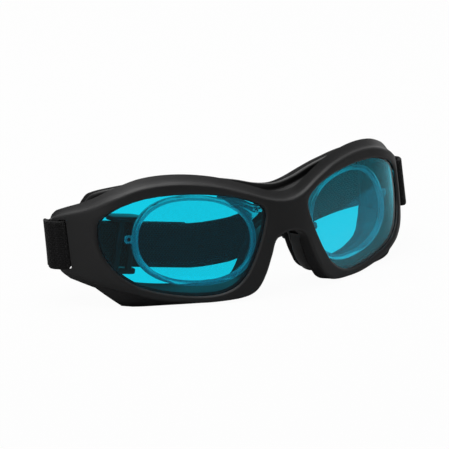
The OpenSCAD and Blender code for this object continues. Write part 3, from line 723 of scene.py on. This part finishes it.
def slot_cutter(side):
    """A bar with rounded corners through the wing."""
    corners = [Vector((x * SLOT_W / 2, 0, z * SLOT_H / 2)) for x, z in CORNERS]
    outline = fillet(corners, [SLOT_R] * 4, 5)
    centre = Vector((*wing(SLOT_S, PLATE_T / 2), WING_Z))
    turn = Matrix.Rotation(-FACE_LEAN, 4, "X") @ Matrix.Rotation(wing_turned, 4, "Z")
    rings = [[turn @ (p + Vector((0, d, 0))) + centre for p in outline] for d in (-2 * PLATE_T, 2 * PLATE_T)]
    return tube("slot_cutter", rings if side > 0 else [mirrored(r) for r in rings], FRAME_NYLON,
                closed=False)


for side in (1, -1):
    combine(front, slot_cutter(side), "DIFFERENCE")
work = bmesh.new()
work.from_mesh(front.data)
cut = bmesh.ops.bisect_plane(work, geom=work.verts[:] + work.edges[:] + work.faces[:],
                             plane_co=(0, 0, 0), plane_no=(0, 0, 1), clear_inner=True)
bmesh.ops.holes_fill(work, edges=[e for e in cut["geom_cut"] if isinstance(e, bmesh.types.BMEdge)])
work.to_mesh(front.data)
work.free()
finish_mesh(front.data, 35)
place(front, "goggles", "frame_nylon", "front_frame")

# %% [markdown]
# ## Rear shell
# Behind the front sits a second moulding: a wall that starts at the lens seals and runs back to a
# flange along the face. Over the brow it shows as a dark band with a thin lit rim.

# %% Rear shell
SHELL_T = 1.6
SHELL_HALF = 70.6
SHELL_FIT = 0.15
SHELL_D = PLATE_T + 0.1
LEDGE_T = 0.8
LEDGE_BACK = 0.4
FLANGE_H = 2.2
FLANGE_T = 1.8
SIDE_RUN = 11.5
NEAR_NOSE = 18


def wall_line(t, width):
    """Outer or inner side of the wall, where it leaves the front frame; upright at the side."""
    depth = LIP_T + SHELL_FIT + width
    p = inset(crease, t, depth)
    if p.x < SHELL_HALF - width:
        return p
    z = WING_Z + (curve(crease, t).y - WING_Z) * (1 - depth / SIDE_RUN)
    return Vector((SHELL_HALF - width, z))


def shell_in(t):
    """Inner edge of the shell's front: the lens opening, or the wall near the middle."""
    near = smooth((t - 0.6) / 1.4) * smooth((last - 0.4 - t) / 1.4)
    return wall_line(t, SHELL_T).lerp(inset(opening, t, -LEDGE_BACK, True), near)


def flange(t):
    """Height of the flange, which is low beside the nose."""
    return FLANGE_H * (1 - 0.7 * smooth((t - NEAR_NOSE) / 2))


def shell_section(t):
    """Ledge behind the lens, wall, and flange at the wearer's face."""
    points = [at(shell_in(t), SHELL_D), at(wall_line(t, 0), SHELL_D),
              on_rim(inset(rim, t, flange(t)), -FLANGE_T), on_rim(curve(rim, t), -FLANGE_T),
              on_rim(curve(rim, t), 0), on_rim(inset(rim, t, flange(t) + SHELL_T), 0),
              at(wall_line(t, SHELL_T), SHELL_D + LEDGE_T), at(shell_in(t), SHELL_D + LEDGE_T)]
    return fillet(points, [0.1, 0.1, 0.5, 0.6, 0.6, 0.4, 0.2, 0.2])


def whole_ring(section):
    """The right half's sections and then the mirrored ones, which close the ring."""
    right = [section(i / ROWS) for i in range(last * ROWS + 1)]
    return right + [mirrored(s) for s in right[-2:0:-1]]


shell = tube("rear_shell_wall", whole_ring(shell_section), SHELL_NYLON)
print("rear shell faces:", len(shell.data.polygons))

# %% [markdown]
# At the bridge the shell has a tab that the screws go through, and a shelf that carries the bar of
# the corrective insert. Both are plain blocks with broken edges.

# %% Bridge tab and shelf
TAB_HALF = 6.5
TAB_T = 1.8
TAB_Y = FRONT_Y + SHELL_D + 0.6
TAB_LOW = ARCH_Z + 1.6
TAB_TOP = BRIDGE_Z - 4.8
SHELF_T = 1.1
SHELF_REACH = TAB_T + 3.2


def block(name, low, high, material, edge=0.25):
    """A block with broken edges, between two corners in mm."""
    middle, half = (Vector(low) + Vector(high)) / 2, (Vector(high) - Vector(low)) / 2
    sections = []
    for z, shrink in ((-half.z, edge), (-half.z + edge, 0), (half.z - edge, 0), (half.z, edge)):
        inner = [Vector((x * half.x * (1 - shrink / half.x), y * half.y * (1 - shrink / half.y), z)) + middle
                 for x, y in CORNERS]
        sections.append(fillet(inner, [edge] * 4, 2))
    return tube(name, sections, material, closed=False)


tab = block("tab", (-TAB_HALF, 0, TAB_LOW), (TAB_HALF, TAB_T, TAB_TOP), SHELL_NYLON)
shelf = block("shelf", (-TAB_HALF, 0, TAB_TOP - SHELF_T), (TAB_HALF, SHELF_REACH, TAB_TOP), SHELL_NYLON)
lean = Matrix.Rotation(-FACE_LEAN, 3, "X")
work = bmesh.new()
work.from_mesh(shell.data)
for part in (tab, shelf):
    for vertex in part.data.vertices:
        p = lean @ (vertex.co / MM - Vector((0, 0, LEAN_Z))) + Vector((0, TAB_Y, LEAN_Z))
        vertex.co = p * MM
    work.from_mesh(part.data)
    bpy.data.objects.remove(part)
work.to_mesh(shell.data)
work.free()
place(shell, "goggles", "shell_nylon", "rear_shell")

# %% [markdown]
# ## Face cushion
# The cushion is a strip of foam glued to the flange. Foam cut from sheet has straight flanks and a
# crown that the skin draws down at the sides, with a slight unevenness that a moulding hasn't.

# %% Face cushion
CUSHION_T = 4.5
CUSHION_IN = 0.4
CUSHION_FROM = 0.3
CROWN_DROP = 0.2
GLUE_GAP = 0.02


def cushion_section(t):
    """Flat on the flange, with straight flanks and a crown that wanders a little."""
    w = flange(t) + SHELL_T
    outer, inner = inset(rim, t, CUSHION_IN), inset(rim, t, w - CUSHION_IN)
    middle = inset(rim, t, w / 2 + 0.15)
    wave = 0.12 * math.sin(2.1 * t) + 0.08 * math.sin(5.3 * t + 1)
    top = CUSHION_FROM + CUSHION_T + wave - CROWN_DROP
    points = [on_rim(inner, GLUE_GAP), on_rim(outer, GLUE_GAP), on_rim(outer, 0.6 * top),
              on_rim(outer.lerp(middle, 0.45), 0.93 * top), on_rim(middle, top),
              on_rim(inner.lerp(middle, 0.45), 0.93 * top), on_rim(inner, 0.6 * top)]
    return fillet(points, [0.15, 0.15, 0.5, 0.4, 0.4, 0.4, 0.5], 2)


cushion = tube("face_cushion_foam", whole_ring(cushion_section), CUSHION_FOAM, angle=60)
place(cushion, "goggles", "cushion_foam", "face_cushion")

# %% [markdown]
# ## Nose pads
# A soft block fills the channel beside the nose. It swells towards its middle and thins out at
# both ends, so its sections follow a sine.

# %% Nose pads
PAD_FROM = 20.1
PAD_TO = 22.7
PAD_STEPS = 24
PAD_MARGIN = 0.3
PAD_FIT = 0.05


def pad_section(s):
    """Four corners between the frame and the flange, on the wall's outer side."""
    t = PAD_FROM + s * (PAD_TO - PAD_FROM)
    front_point = at(wall_line(t, 0), SHELL_D)
    rear_point = on_rim(inset(rim, t, flange(t)), -FLANGE_T)
    span = (rear_point - front_point).length
    a = front_point.lerp(rear_point, (blend_row(LIP_EDGE, t).z + PAD_MARGIN - SHELL_D) / span)
    b = front_point.lerp(rear_point, 1 - PAD_MARGIN / span)
    n = inward(rim, t)
    low = Vector((-n.x, 0, -n.y))
    rise = 0.6 + 1.2 * math.sin(math.pi * s)
    points = [a + PAD_FIT * low, b + PAD_FIT * low, b + (0.3 + rise) * low, a + (0.3 + 0.8 * rise) * low]
    return fillet(points, [0.1, 0.1, 0.7, 0.5], 4)


pad_right = [pad_section(i / PAD_STEPS) for i in range(PAD_STEPS + 1)]
for name, run in (("right", pad_right), ("left", [mirrored(s) for s in pad_right])):
    pad = tube("nose_pad_soft_" + name, run, PAD_SILICONE, closed=False)
    place(pad, "goggles", "pad_rubber", "nose_pad_" + name)

# %% [markdown]
# ## Filter lenses
# Each filter is a plate that follows the face. It is built as rings that shrink towards the
# middle of the lens, each point laid on the wrapped sheet, so both faces stay true to the curve.

# %% Filter lenses
LENS_GROW = 1.1
LENS_FIT = 0.05
RINGS = (1, 0.985, 0.955, 0.91, 0.85, 0.77, 0.67, 0.55, 0.42, 0.28, 0.14)
lens_middle = Vector((LENS_MID, LENS_LOW + LENS_H / 2))


def plate(edge, rings, depths, lay):
    """Points and faces of a plate, whose rings shrink towards the middle of both faces."""
    n, k = len(edge), len(rings)
    points = [lay(p, f, d) for d in depths for f in rings for p in edge]
    points += [lay(edge[0], 0, d) for d in depths]
    faces = []
    for start in (0, k * n):
        inner = start + (k - 1) * n
        for base in range(start, inner, n):
            faces += [(base + i, base + (i + 1) % n, base + n + (i + 1) % n, base + n + i) for i in range(n)]
        faces += [(inner + i, inner + (i + 1) % n, 2 * k * n + (start > 0)) for i in range(n)]
    return points, faces + [(i, (i + 1) % n, k * n + (i + 1) % n, k * n + i) for i in range(n)]


def on_face(p, f, depth):
    """A point between the middle of the lens and its edge."""
    return at(lens_middle.lerp(p, f), depth)


edge = [inset(opening, i / ROWS, -LENS_GROW, True) for i in range(stations)]
points, faces = plate(edge, RINGS, (LENS_RECESS + LENS_FIT, LENS_RECESS + LENS_T - LENS_FIT), on_face)
for name, shape in (("right", points), ("left", mirrored(points))):
    lens = piece("filter_lens_blue_" + name, shape, faces, FILTER_PC)
    place(lens, "goggles", "filter_polycarbonate", "filter_lens_" + name)

# %% [markdown]
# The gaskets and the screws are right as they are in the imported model, so they only get their
# finish.

# %% Finish of the kept nodes
for node, material in (("lens_seal_right", SEAL_RUBBER_AND_SHADE), ("lens_seal_left", SEAL_RUBBER_AND_SHADE),
                       ("bridge_screws", SCREW_STEEL)):
    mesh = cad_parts[node].data
    mesh.materials.clear()
    mesh.materials.append(material)
    print(node, "is", material.name)

# %% [markdown]
# ## Corrective insert
# People who need glasses clip a small carrier behind the filters. It is clear nylon: two oval
# rims with a groove for the lens, joined over the nose, each with a closing loop at its outer
# side. It is cut from prisms, in the plane of each rim, and its edges are broken at the end.

# %% Insert sizes
RX_W = 46.5
RX_H = 32.6
RX_GAP = 68
RX_Y = -14.93
RX_Z = 22
RX_RIM = 1.9
RX_DEPTH = 2.0
RX_LENS_T = 1.2
RX_GROOVE = 0.8
RX_TURN = math.radians(17)
RX_TILT = math.radians(6)
OVAL_POINTS = 120
OVAL_POWER = 2.3


def oval(grow):
    """A rounded oval between an ellipse and a rectangle, tilted in its plane."""
    points = []
    for i in range(OVAL_POINTS):
        a = 2 * math.pi * i / OVAL_POINTS
        x, z = [(size / 2 + grow) * math.copysign(abs(f) ** (2 / OVAL_POWER), f)
                for size, f in ((RX_W, math.cos(a)), (RX_H, math.sin(a)))]
        points.append((x * math.cos(RX_TILT) - z * math.sin(RX_TILT),
                       x * math.sin(RX_TILT) + z * math.cos(RX_TILT)))
    return points


rx_turned = Matrix.Rotation(RX_TURN, 3, "Z") @ Matrix.Rotation(-FACE_LEAN, 3, "X")


def rx_point(u, v, depth, side=1):
    """A point of a rim's own plane, at a depth towards the filter."""
    p = rx_turned @ Vector((u, -depth, v)) + Vector((RX_GAP / 2, RX_Y, RX_Z))
    return Vector((p.x * side, p.y, p.z))


def prism(outline, thick, side):
    """An outline in a rim's plane, made solid."""
    rings = [[rx_point(u, v, d, side) for u, v in outline] for d in (-thick / 2, thick / 2)]
    return tube("prism", rings, CARRIER_CLEAR, closed=False)


def rounded(low, high, radius):
    """A rectangle in a rim's plane with rounded corners."""
    corners = [(low[0], low[1]), (high[0], low[1]), (high[0], high[1]), (low[0], high[1])]
    return fillet([Vector(c) for c in corners], [radius] * 4, 4)


print("rim centres are", RX_GAP, "mm apart")

# %% Insert carrier
RX_HALF = RX_W / 2
WEB = [(-RX_HALF - 1.6, 7.6), (-RX_HALF - 1.6, 10.4), (-RX_HALF + 4.5, 13.5), (-10, RX_H / 2 - 0.5),
       (-9, 12), (-RX_HALF + 3, 4)]
THIN = RX_DEPTH * 0.6
THROUGH = RX_DEPTH + 2
BAR_T = 1.6
BAR_H = 2
BAR_Y = RX_Y - 5.2
BAR_HALF = LENS_IN + 1.6
BAR_LOW = TAB_TOP + 0.3

carrier = block("rx_carrier_clear", (-BAR_HALF, BAR_Y - BAR_T / 2, BAR_LOW),
                (BAR_HALF, BAR_Y + BAR_T / 2, BAR_LOW + BAR_H), CARRIER_CLEAR, 0.15)
loop = rounded((RX_HALF - 0.6, 1), (RX_HALF + 2.6, 3.8), 0.9)
loop_hole = rounded((RX_HALF + 0.35, 1.65), (RX_HALF + 1.85, 3.15), 0.5)
for side in (1, -1):
    half = prism(oval(0), RX_DEPTH, side)
    for outline, thick, operation in ((WEB, THIN, "UNION"), (loop, THIN, "UNION"),
                                      (loop_hole, THROUGH, "DIFFERENCE"),
                                      (oval(-RX_RIM), THROUGH, "DIFFERENCE"),
                                      (oval(RX_GROOVE - RX_RIM), RX_LENS_T + 0.1, "DIFFERENCE")):
        combine(half, prism(outline, thick, side), operation)
    combine(carrier, half, "UNION")
broken = carrier.modifiers.new("broken edges", "BEVEL")
broken.width = 0.18 * MM
broken.segments = 2
broken.limit_method = "ANGLE"
broken.angle_limit = math.radians(50)
bake(carrier)
finish_mesh(carrier.data, 40)
place(carrier, "insert", "carrier_plastic", "rx_carrier")

# %% [markdown]
# The lenses in the carrier are stamped blanks, slightly domed towards the filter. A flat blank
# would mirror one even tone, so the dome is what makes them read as lenses.

# %% Insert lenses
RX_DOME = 0.5
RX_FIT = 0.05
RX_RINGS = (1, 0.97, 0.9, 0.75, 0.55, 0.35, 0.15)


def on_dome(p, f, depth):
    """A point between the middle of the blank and its edge, bulging by RX_DOME at the middle."""
    return rx_point(p[0] * f, p[1] * f, depth + RX_DOME * (1 - f * f))


points, faces = plate(oval(RX_GROOVE - RX_RIM - RX_FIT), RX_RINGS, (RX_LENS_T / 2, -RX_LENS_T / 2), on_dome)
for name, shape in (("right", points), ("left", mirrored(points))):
    lens = piece("rx_lens_blank_" + name, shape, faces, LENS_CLEAR)
    place(lens, "insert", "demo_lens", "rx_lens_" + name)

# %% [markdown]
# ## Elastic strap
# The strap is one knitted elastic, 17 mm wide. It runs behind the head, round the bar at each
# wing slot and back on itself. Its route is a list of points, and Geometry Nodes sweep a flat
# profile along it, since a ribbon is exactly that: one profile that follows a path.

# %% Strap route
STRAP_W = 17
STRAP_T = 1.4
STRAP_GAP = 2
STRAP_SKEW = 0.145
PLY = STRAP_T + 0.3
HALF_W = STRAP_W / 2
BACK_Y = on_rim((RIM_HALF, 0), 0).y + CUSHION_FROM + CUSHION_T + STRAP_GAP
ROUTE_STEPS = 8
GAP_IN = PLATE_T + 0.4 + STRAP_T / 2
GAP_OUT = -0.2 - STRAP_T / 2
TAIL_X = 13
TAIL_RISE = 0.8
STRETCH = [(6, 0.1), (12, 0.6), (32, 4.1), (52, 7.6)]
SIDE_X = STRETCH[-1][0]
SIDE_Y = tip.y + 2.9
BEND = [(1.1, 0.03, 0.1, 0.9), (1.8, 0.15, 0.5, 0.7), (3, 0.32, 1, 0.5), (5, 0.52, 1.7, 0.35),
        (8.2, 0.74, 2.6, 0.2), (13.2, 0.92, 3.8, 0.1), (19.8, 0.99, 4.9, 0.03)]
TURN = [(-0.4, GAP_IN), (SLOT_S + 3.2, GAP_IN), (SLOT_S + 1.8, GAP_IN - 0.1), (SLOT_S + 0.6, 3.5),
        (SLOT_S - 0.1, 2.3), (SLOT_S - 0.2, 0.7), (SLOT_S + 0.3, -0.4), (SLOT_S + 1.3, GAP_OUT),
        (SLOT_S + 2.6, GAP_OUT), (-0.8, GAP_OUT), (0.6, -0.1), (1.05, 1.4)]


def behind(x, skew):
    """How far back the webbing runs behind the head; it runs off a little at the right side."""
    return BACK_Y + skew * max(0, x - STRETCH[0][0])


def plan_dir(points, i):
    """Direction in plan at a point of a route, along its neighbours."""
    d = (points[min(i + 1, len(points) - 1)] - points[max(i - 1, 0)]).to_2d()
    return d.normalized()


def half_strap(skew):
    """Route of one half, with a share of lean: inner ply, turn through the slot, outer ply, tail."""
    reach = behind(SIDE_X, skew) + PLY - SIDE_Y
    outer = [Vector((WING_X - x, SIDE_Y + part * reach, WING_Z - drop, share))
             for x, part, drop, share in BEND]
    inner = []
    for i in range(len(outer) - 1, 0, -1):
        d = plan_dir(outer, i)
        inner.append(outer[i] + PLY * Vector((-d.y, d.x, 0, 0)))
    turn = [Vector((*wing(s, depth), WING_Z, 1)) for s, depth in TURN]
    start = [Vector((x, behind(x, skew), HALF_W + rise, 0)) for x, rise in STRETCH]
    back = [Vector((x, behind(x, skew) + PLY, HALF_W + rise, 0)) for x, rise in STRETCH[:1:-1]]
    tail = [Vector((TAIL_X, behind(TAIL_X, skew) + PLY, HALF_W + TAIL_RISE, 0))]
    return start + inner + turn + outer + back + tail


left_half, right_half = half_strap(0), half_strap(STRAP_SKEW)
route = [Vector((-p[0], p[1], p[2], p[3])) for p in reversed(left_half)]
route += [Vector((0, BACK_Y, HALF_W, 0))] + right_half
ways = [Vector((*plan_dir(route, i), 0, 0)) for i in range(len(route))]


def route_point(i, s):
    """A smooth point between two route points: x, y, z and the share of lean."""
    a, b = route[i], route[i + 1]
    p = between(a, b, ways[i], ways[i + 1], (b - a).to_2d().length, s)
    p.z, p.w = a.z + s * (b.z - a.z), a.w + s * (b.w - a.w)
    return p


run = [route_point(i, j / ROUTE_STEPS) for i in range(len(route) - 1) for j in range(ROUTE_STEPS)]
run.append(route[-1])
print("webbing length:", round(sum((b - a).to_3d().length for a, b in zip(run, run[1:]))), "mm")

# %% [markdown]
# The nodes keep, for every point of the sweep, where the middle of the ribbon lies, which way its
# face looks and how its width slants. Then they lay the profile out along those directions, so
# the ribbon leans with the wing at the slot and stands upright behind the head.

# %% Node groups
def node_group(name, *sockets):
    """A geometry group with named inputs, and the sockets that give them."""
    group = bpy.data.node_groups.new(name, "GeometryNodeTree")
    group.interface.new_socket("Geometry", in_out="INPUT", socket_type="NodeSocketGeometry")
    for label, kind in sockets:
        group.interface.new_socket(label, in_out="INPUT", socket_type="NodeSocket" + kind)
    group.interface.new_socket("Geometry", in_out="OUTPUT", socket_type="NodeSocketGeometry")
    return group, add(group, "NodeGroupInput").outputs


def grow(obj, group, values, angle):
    """Runs a group on a piece, with its named inputs, and keeps the plain mesh."""
    step = obj.modifiers.new(group.name, "NODES")
    step.node_group = group
    for socket in group.interface.items_tree:
        if socket.name in values:
            step[socket.identifier] = values[socket.name]
    bake(obj)
    finish_mesh(obj.data, angle)


print("ribbon points along the route:", len(run))

# %% Sweep by Geometry Nodes
PROFILE_POINTS = 56
belt, given = node_group("webbing_sweep", ("Width", "Float"), ("Thickness", "Float"),
                         ("Rounding", "Float"), ("Slant", "Float"), ("Material", "Material"))
line = add(belt, "GeometryNodeMeshToCurve", {"Mesh": given["Geometry"]})
middle = add(belt, "GeometryNodeInputPosition")
tangent = add(belt, "GeometryNodeInputTangent")
sideways = add(belt, "ShaderNodeVectorMath", {0: (0, 0, 1), 1: tangent}, operation="CROSS_PRODUCT")
sideways = add(belt, "ShaderNodeVectorMath", {0: sideways}, operation="NORMALIZE")
lean_share = add(belt, "GeometryNodeInputNamedAttribute", {"Name": "lean"}, data_type="FLOAT")
slant = add(belt, "ShaderNodeMath", {0: lean_share, 1: given["Slant"]}, operation="MULTIPLY")
slant = add(belt, "ShaderNodeCombineXYZ", {"Y": slant, "Z": 1.0})
run_length = add(belt, "GeometryNodeSplineParameter").outputs["Length"]
line = add(belt, "GeometryNodeCaptureAttribute",
           {"Geometry": line, "Middle": middle, "Sideways": sideways, "Slant": slant, "Length": run_length},
           (("Middle", "VECTOR"), ("Sideways", "VECTOR"), ("Slant", "VECTOR"), ("Length", "FLOAT"))).outputs
profile = add(belt, "GeometryNodeCurvePrimitiveQuadrilateral", {"Width": given["Thickness"],
                                                                "Height": given["Width"]})
profile = add(belt, "GeometryNodeFilletCurve", {"Curve": profile, "Radius": given["Rounding"],
                                                "Count": 4}, mode="POLY")
profile = add(belt, "GeometryNodeResampleCurve", {"Curve": profile, "Count": PROFILE_POINTS})
spot = add(belt, "GeometryNodeInputPosition")
profile = add(belt, "GeometryNodeCaptureAttribute", {"Geometry": profile, "Across": spot},
              (("Across", "VECTOR"),)).outputs
ribbon = add(belt, "GeometryNodeCurveToMesh", {"Curve": line["Geometry"], "Fill Caps": True,
                                               "Profile Curve": profile["Geometry"]})
across = add(belt, "ShaderNodeSeparateXYZ", {0: profile["Across"]}).outputs
through = add(belt, "ShaderNodeVectorMath", {0: line["Sideways"], "Scale": across["X"]}, operation="SCALE")
upward = add(belt, "ShaderNodeVectorMath", {0: line["Slant"], "Scale": across["Y"]}, operation="SCALE")
spot = add(belt, "ShaderNodeVectorMath", {0: through, 1: upward}, operation="ADD")
spot = add(belt, "ShaderNodeVectorMath", {0: line["Middle"], 1: spot}, operation="ADD")
ribbon = add(belt, "GeometryNodeSetPosition", {"Geometry": ribbon, "Position": spot})
knit_place = add(belt, "ShaderNodeCombineXYZ", {"X": line["Length"], "Y": across["Y"], "Z": across["X"]})
ribbon = add(belt, "GeometryNodeStoreNamedAttribute", {"Geometry": ribbon, "Name": "knit",
                                                       "Value": knit_place},
             data_type="FLOAT_VECTOR", domain="POINT")
ribbon = add(belt, "GeometryNodeRealizeInstances", {"Geometry": ribbon})
ribbon = add(belt, "GeometryNodeSetMaterial", {"Geometry": ribbon, "Material": given["Material"]})
add(belt, "NodeGroupOutput", {"Geometry": ribbon})
print("nodes in the sweep:", len(belt.nodes))

# %% [markdown]
# ## Knitted elastic
# Elastic webbing is a warp knit: rows of stitches run along it, about 0.8 mm apart, and the
# rubber threads between them pull it into fine crossing ribs. The pattern uses the length and the
# height kept on the ribbon, so it turns the corners at the slots with it.

# %% Webbing and thread
def knit(name, hex_code, row_mm, stitch_mm):
    """Rows of stitches along the ribbon; the sunk gaps between them are painted dark as shade."""
    material, tree = new_material(name)
    where = add(tree, "ShaderNodeAttribute", attribute_name="knit").outputs["Vector"]
    # The mortar colour paints the sunk gaps between the stitches near black: painted shade.
    rows = add(tree, "ShaderNodeTexBrick", {
        "Vector": where, "Scale": 1.0, "Brick Width": stitch_mm * MM, "Row Height": row_mm * MM,
        "Mortar Size": 0.22 * row_mm * MM, "Mortar Smooth": 1.0, "Color1": colour(hex_code, 1.7),
        "Color2": colour(hex_code, 0.7), "Mortar": colour(hex_code, 0.2)}).outputs
    fuzz = add(tree, "ShaderNodeTexNoise", {"Vector": where, "Scale": 3000.0, "Detail": 3.0})
    height = add(tree, "ShaderNodeMath", {0: fuzz.outputs["Fac"], 1: rows["Fac"]}, operation="SUBTRACT")
    bump = add(tree, "ShaderNodeBump", {"Height": height, "Distance": 0.22 * MM, "Strength": 1.0})
    skin = add(tree, "ShaderNodeBsdfPrincipled", {
        "Base Color": rows["Color"], "Roughness": 0.85, "IOR": 1.5, "Specular IOR Level": 0.3,
        "Sheen Weight": 0.1, "Normal": bump})
    add(tree, "ShaderNodeOutputMaterial", {"Surface": skin})
    return material


WEBBING = knit("elastic_knitted_black", "#0b0b0c", 0.8, 1.3)
THREAD = soft("thread_polyester_black", "#1e1e20", 0.5)
print("textiles:", WEBBING.name, THREAD.name)

# %% Strap
strap_mesh = bpy.data.meshes.new("strap_webbing")
strap_mesh.from_pydata([p.to_3d() * MM for p in run], [(i, i + 1) for i in range(len(run) - 1)], [])
strap_mesh.attributes.new("lean", "FLOAT", "POINT").data.foreach_set("value", [p.w for p in run])
strap = show("strap_webbing", strap_mesh)
grow(strap, belt, {"Width": STRAP_W * MM, "Thickness": STRAP_T * MM, "Rounding": 0.45 * MM,
                   "Slant": LEAN, "Material": WEBBING}, 50)
place(strap, "goggles", "elastic_webbing", "strap")

# %% [markdown]
# ## Stitches at the tails
# The cut ends of the webbing are sewn across in two rows of slanting stitches, so that they don't
# fray. One stitch is a short bent thread, and Geometry Nodes set it on each point of the rows.

# %% Stitches by Geometry Nodes
ROUND_STEPS = 8
ARCH_SHARE = 2.2
seam, given = node_group("stitch_rows", ("Stitch length", "Float"), ("Thread radius", "Float"),
                         ("Material", "Material"))
half_stitch = add(seam, "ShaderNodeMath", {0: given["Stitch length"], 1: 0.5}, operation="MULTIPLY")
far_stitch = add(seam, "ShaderNodeMath", {0: half_stitch, 1: -1.0}, operation="MULTIPLY")
arch = add(seam, "ShaderNodeMath", {0: given["Thread radius"], 1: ARCH_SHARE}, operation="MULTIPLY")
begin = add(seam, "ShaderNodeCombineXYZ", {"X": far_stitch})
top = add(seam, "ShaderNodeCombineXYZ", {"Y": arch})
end = add(seam, "ShaderNodeCombineXYZ", {"X": half_stitch})
thread = add(seam, "GeometryNodeCurveQuadraticBezier", {"Resolution": ROUND_STEPS, "Start": begin,
                                                        "Middle": top, "End": end})
round_thread = add(seam, "GeometryNodeCurvePrimitiveCircle", {"Resolution": ROUND_STEPS,
                                                              "Radius": given["Thread radius"]})
stitch = add(seam, "GeometryNodeCurveToMesh", {"Curve": thread, "Profile Curve": round_thread,
                                               "Fill Caps": True})
turn = add(seam, "GeometryNodeInputNamedAttribute", {"Name": "turn"}, data_type="FLOAT_VECTOR")
turn = add(seam, "FunctionNodeEulerToRotation", {0: turn})
rows = add(seam, "GeometryNodeInstanceOnPoints", {"Points": given["Geometry"], "Instance": stitch,
                                                  "Rotation": turn})
rows = add(seam, "GeometryNodeRealizeInstances", {"Geometry": rows})
rows = add(seam, "GeometryNodeSetMaterial", {"Geometry": rows, "Material": given["Material"]})
add(seam, "NodeGroupOutput", {"Geometry": rows})
print("nodes in the stitches:", len(seam.nodes))

# %% Tail stitches
STITCH_L = 1.9
STITCH_R = 0.17
STITCH_PITCH = 0.95
STITCH_SLANT = math.radians(24)
STITCH_SUNK = 0.12
STITCH_ROWS = (1.8, 5.6)
SELVEDGE = 1.2
spots, turns = [], []
for side, half in ((1, right_half), (-1, left_half)):
    tail, run_in = half[-1], half[-2] - half[-1]
    tail_slope = math.atan2(run_in.z, run_in.x)
    for row, offset in enumerate(STITCH_ROWS):
        count = int((STRAP_W - 2 * SELVEDGE) / STITCH_PITCH)
        for i in range(count + 1):
            spot = tail.to_3d() + run_in.to_3d() * offset / run_in.x
            spot += Vector((0, STRAP_T / 2 - STITCH_SUNK, (i - count / 2) * STITCH_PITCH))
            spots.append(Vector((side * spot.x, spot.y, spot.z)) * MM)
            turns += [0, -side * (tail_slope + STITCH_SLANT * (-1) ** (i + row)), 0]
stitch_mesh = bpy.data.meshes.new("tail_stitches")
stitch_mesh.from_pydata(spots, [], [])
stitch_mesh.attributes.new("turn", "FLOAT_VECTOR", "POINT").data.foreach_set("vector", turns)
stitches = show("tail_stitches", stitch_mesh)
grow(stitches, seam, {"Stitch length": STITCH_L * MM, "Thread radius": STITCH_R * MM,
                      "Material": THREAD}, 60)
place(stitches, "goggles", "elastic_webbing")

# %% [markdown]
# ## Sliders
# A slider is a small moulded ladder: two rails over and under the webbing, two bars inside and one
# outside that pinch both plies. Its rails have round ends, and all edges are broken.

# %% Sliders
SLIDER_L = 15
SLIDER_BAR = 1.5
SLIDER_X = 42
SLIDER_FIT = 0.4
RAIL_T = 1.8
RAIL_POINTS = 48
RAIL_EDGE = ((0, 0.35), (0.12, 0.12), (0.35, 0))
END_BAR_W = 2.4
END_BAR_IN = 4.6
MIDDLE_BAR_W = 3.2
slope = math.atan2(STRETCH[3][1] - STRETCH[1][1], STRETCH[3][0] - STRETCH[1][0])
slider_z = HALF_W + STRETCH[3][1] - (STRETCH[3][0] - SLIDER_X) * math.tan(slope)
window_h = STRAP_W * math.cos(slope) + 1
bar_out = STRAP_T / 2 + PLY + SLIDER_FIT
rail_low, rail_high = -STRAP_T / 2 - SLIDER_FIT - SLIDER_BAR, bar_out + SLIDER_BAR


def rail(z):
    """A flat bar with round ends and broken edges, standing on z."""
    r = (rail_high - rail_low) / 2
    sections = []
    for height, shrink in [*RAIL_EDGE, *((RAIL_T - h, s) for h, s in reversed(RAIL_EDGE))]:
        section = []
        for i in range(RAIL_POINTS):
            a = 2 * math.pi * (i + 0.5) / RAIL_POINTS
            x = math.copysign(SLIDER_L / 2 - r, math.cos(a)) + (r - shrink) * math.cos(a)
            section.append(Vector((x, rail_low + r + (r - shrink) * math.sin(a), z + height)))
        sections.append(section)
    return tube("rail", sections, SLIDER_ACETAL, closed=False)


def bar(x, y, width):
    """An upright bar whose ends run into both rails."""
    half_h = window_h / 2 + 0.5
    return block("bar", (x - width / 2, y, -half_h), (x + width / 2, y + SLIDER_BAR, half_h),
                 SLIDER_ACETAL, 0.3)


for name, side, skew in (("right", 1, STRAP_SKEW), ("left", -1, 0)):
    slider = rail(-window_h / 2 - RAIL_T)
    combine(slider, rail(window_h / 2), "UNION")
    for x in (-SLIDER_L / 2 + END_BAR_IN, SLIDER_L / 2 - END_BAR_IN):
        combine(slider, bar(x, rail_low, END_BAR_W), "UNION")
    combine(slider, bar(0, bar_out, MIDDLE_BAR_W), "UNION")
    turned = Matrix.Rotation(math.atan(skew), 3, "Z") @ Matrix.Rotation(-slope, 3, "Y")
    for vertex in slider.data.vertices:
        p = turned @ vertex.co + Vector((SLIDER_X, behind(SLIDER_X, skew), slider_z)) * MM
        vertex.co = (side * p.x, p.y, p.z)
    slider.name = "slider_moulded_" + name
    finish_mesh(slider.data, 40)
    place(slider, "slider_" + name, "slider_plastic", "slider_" + name)
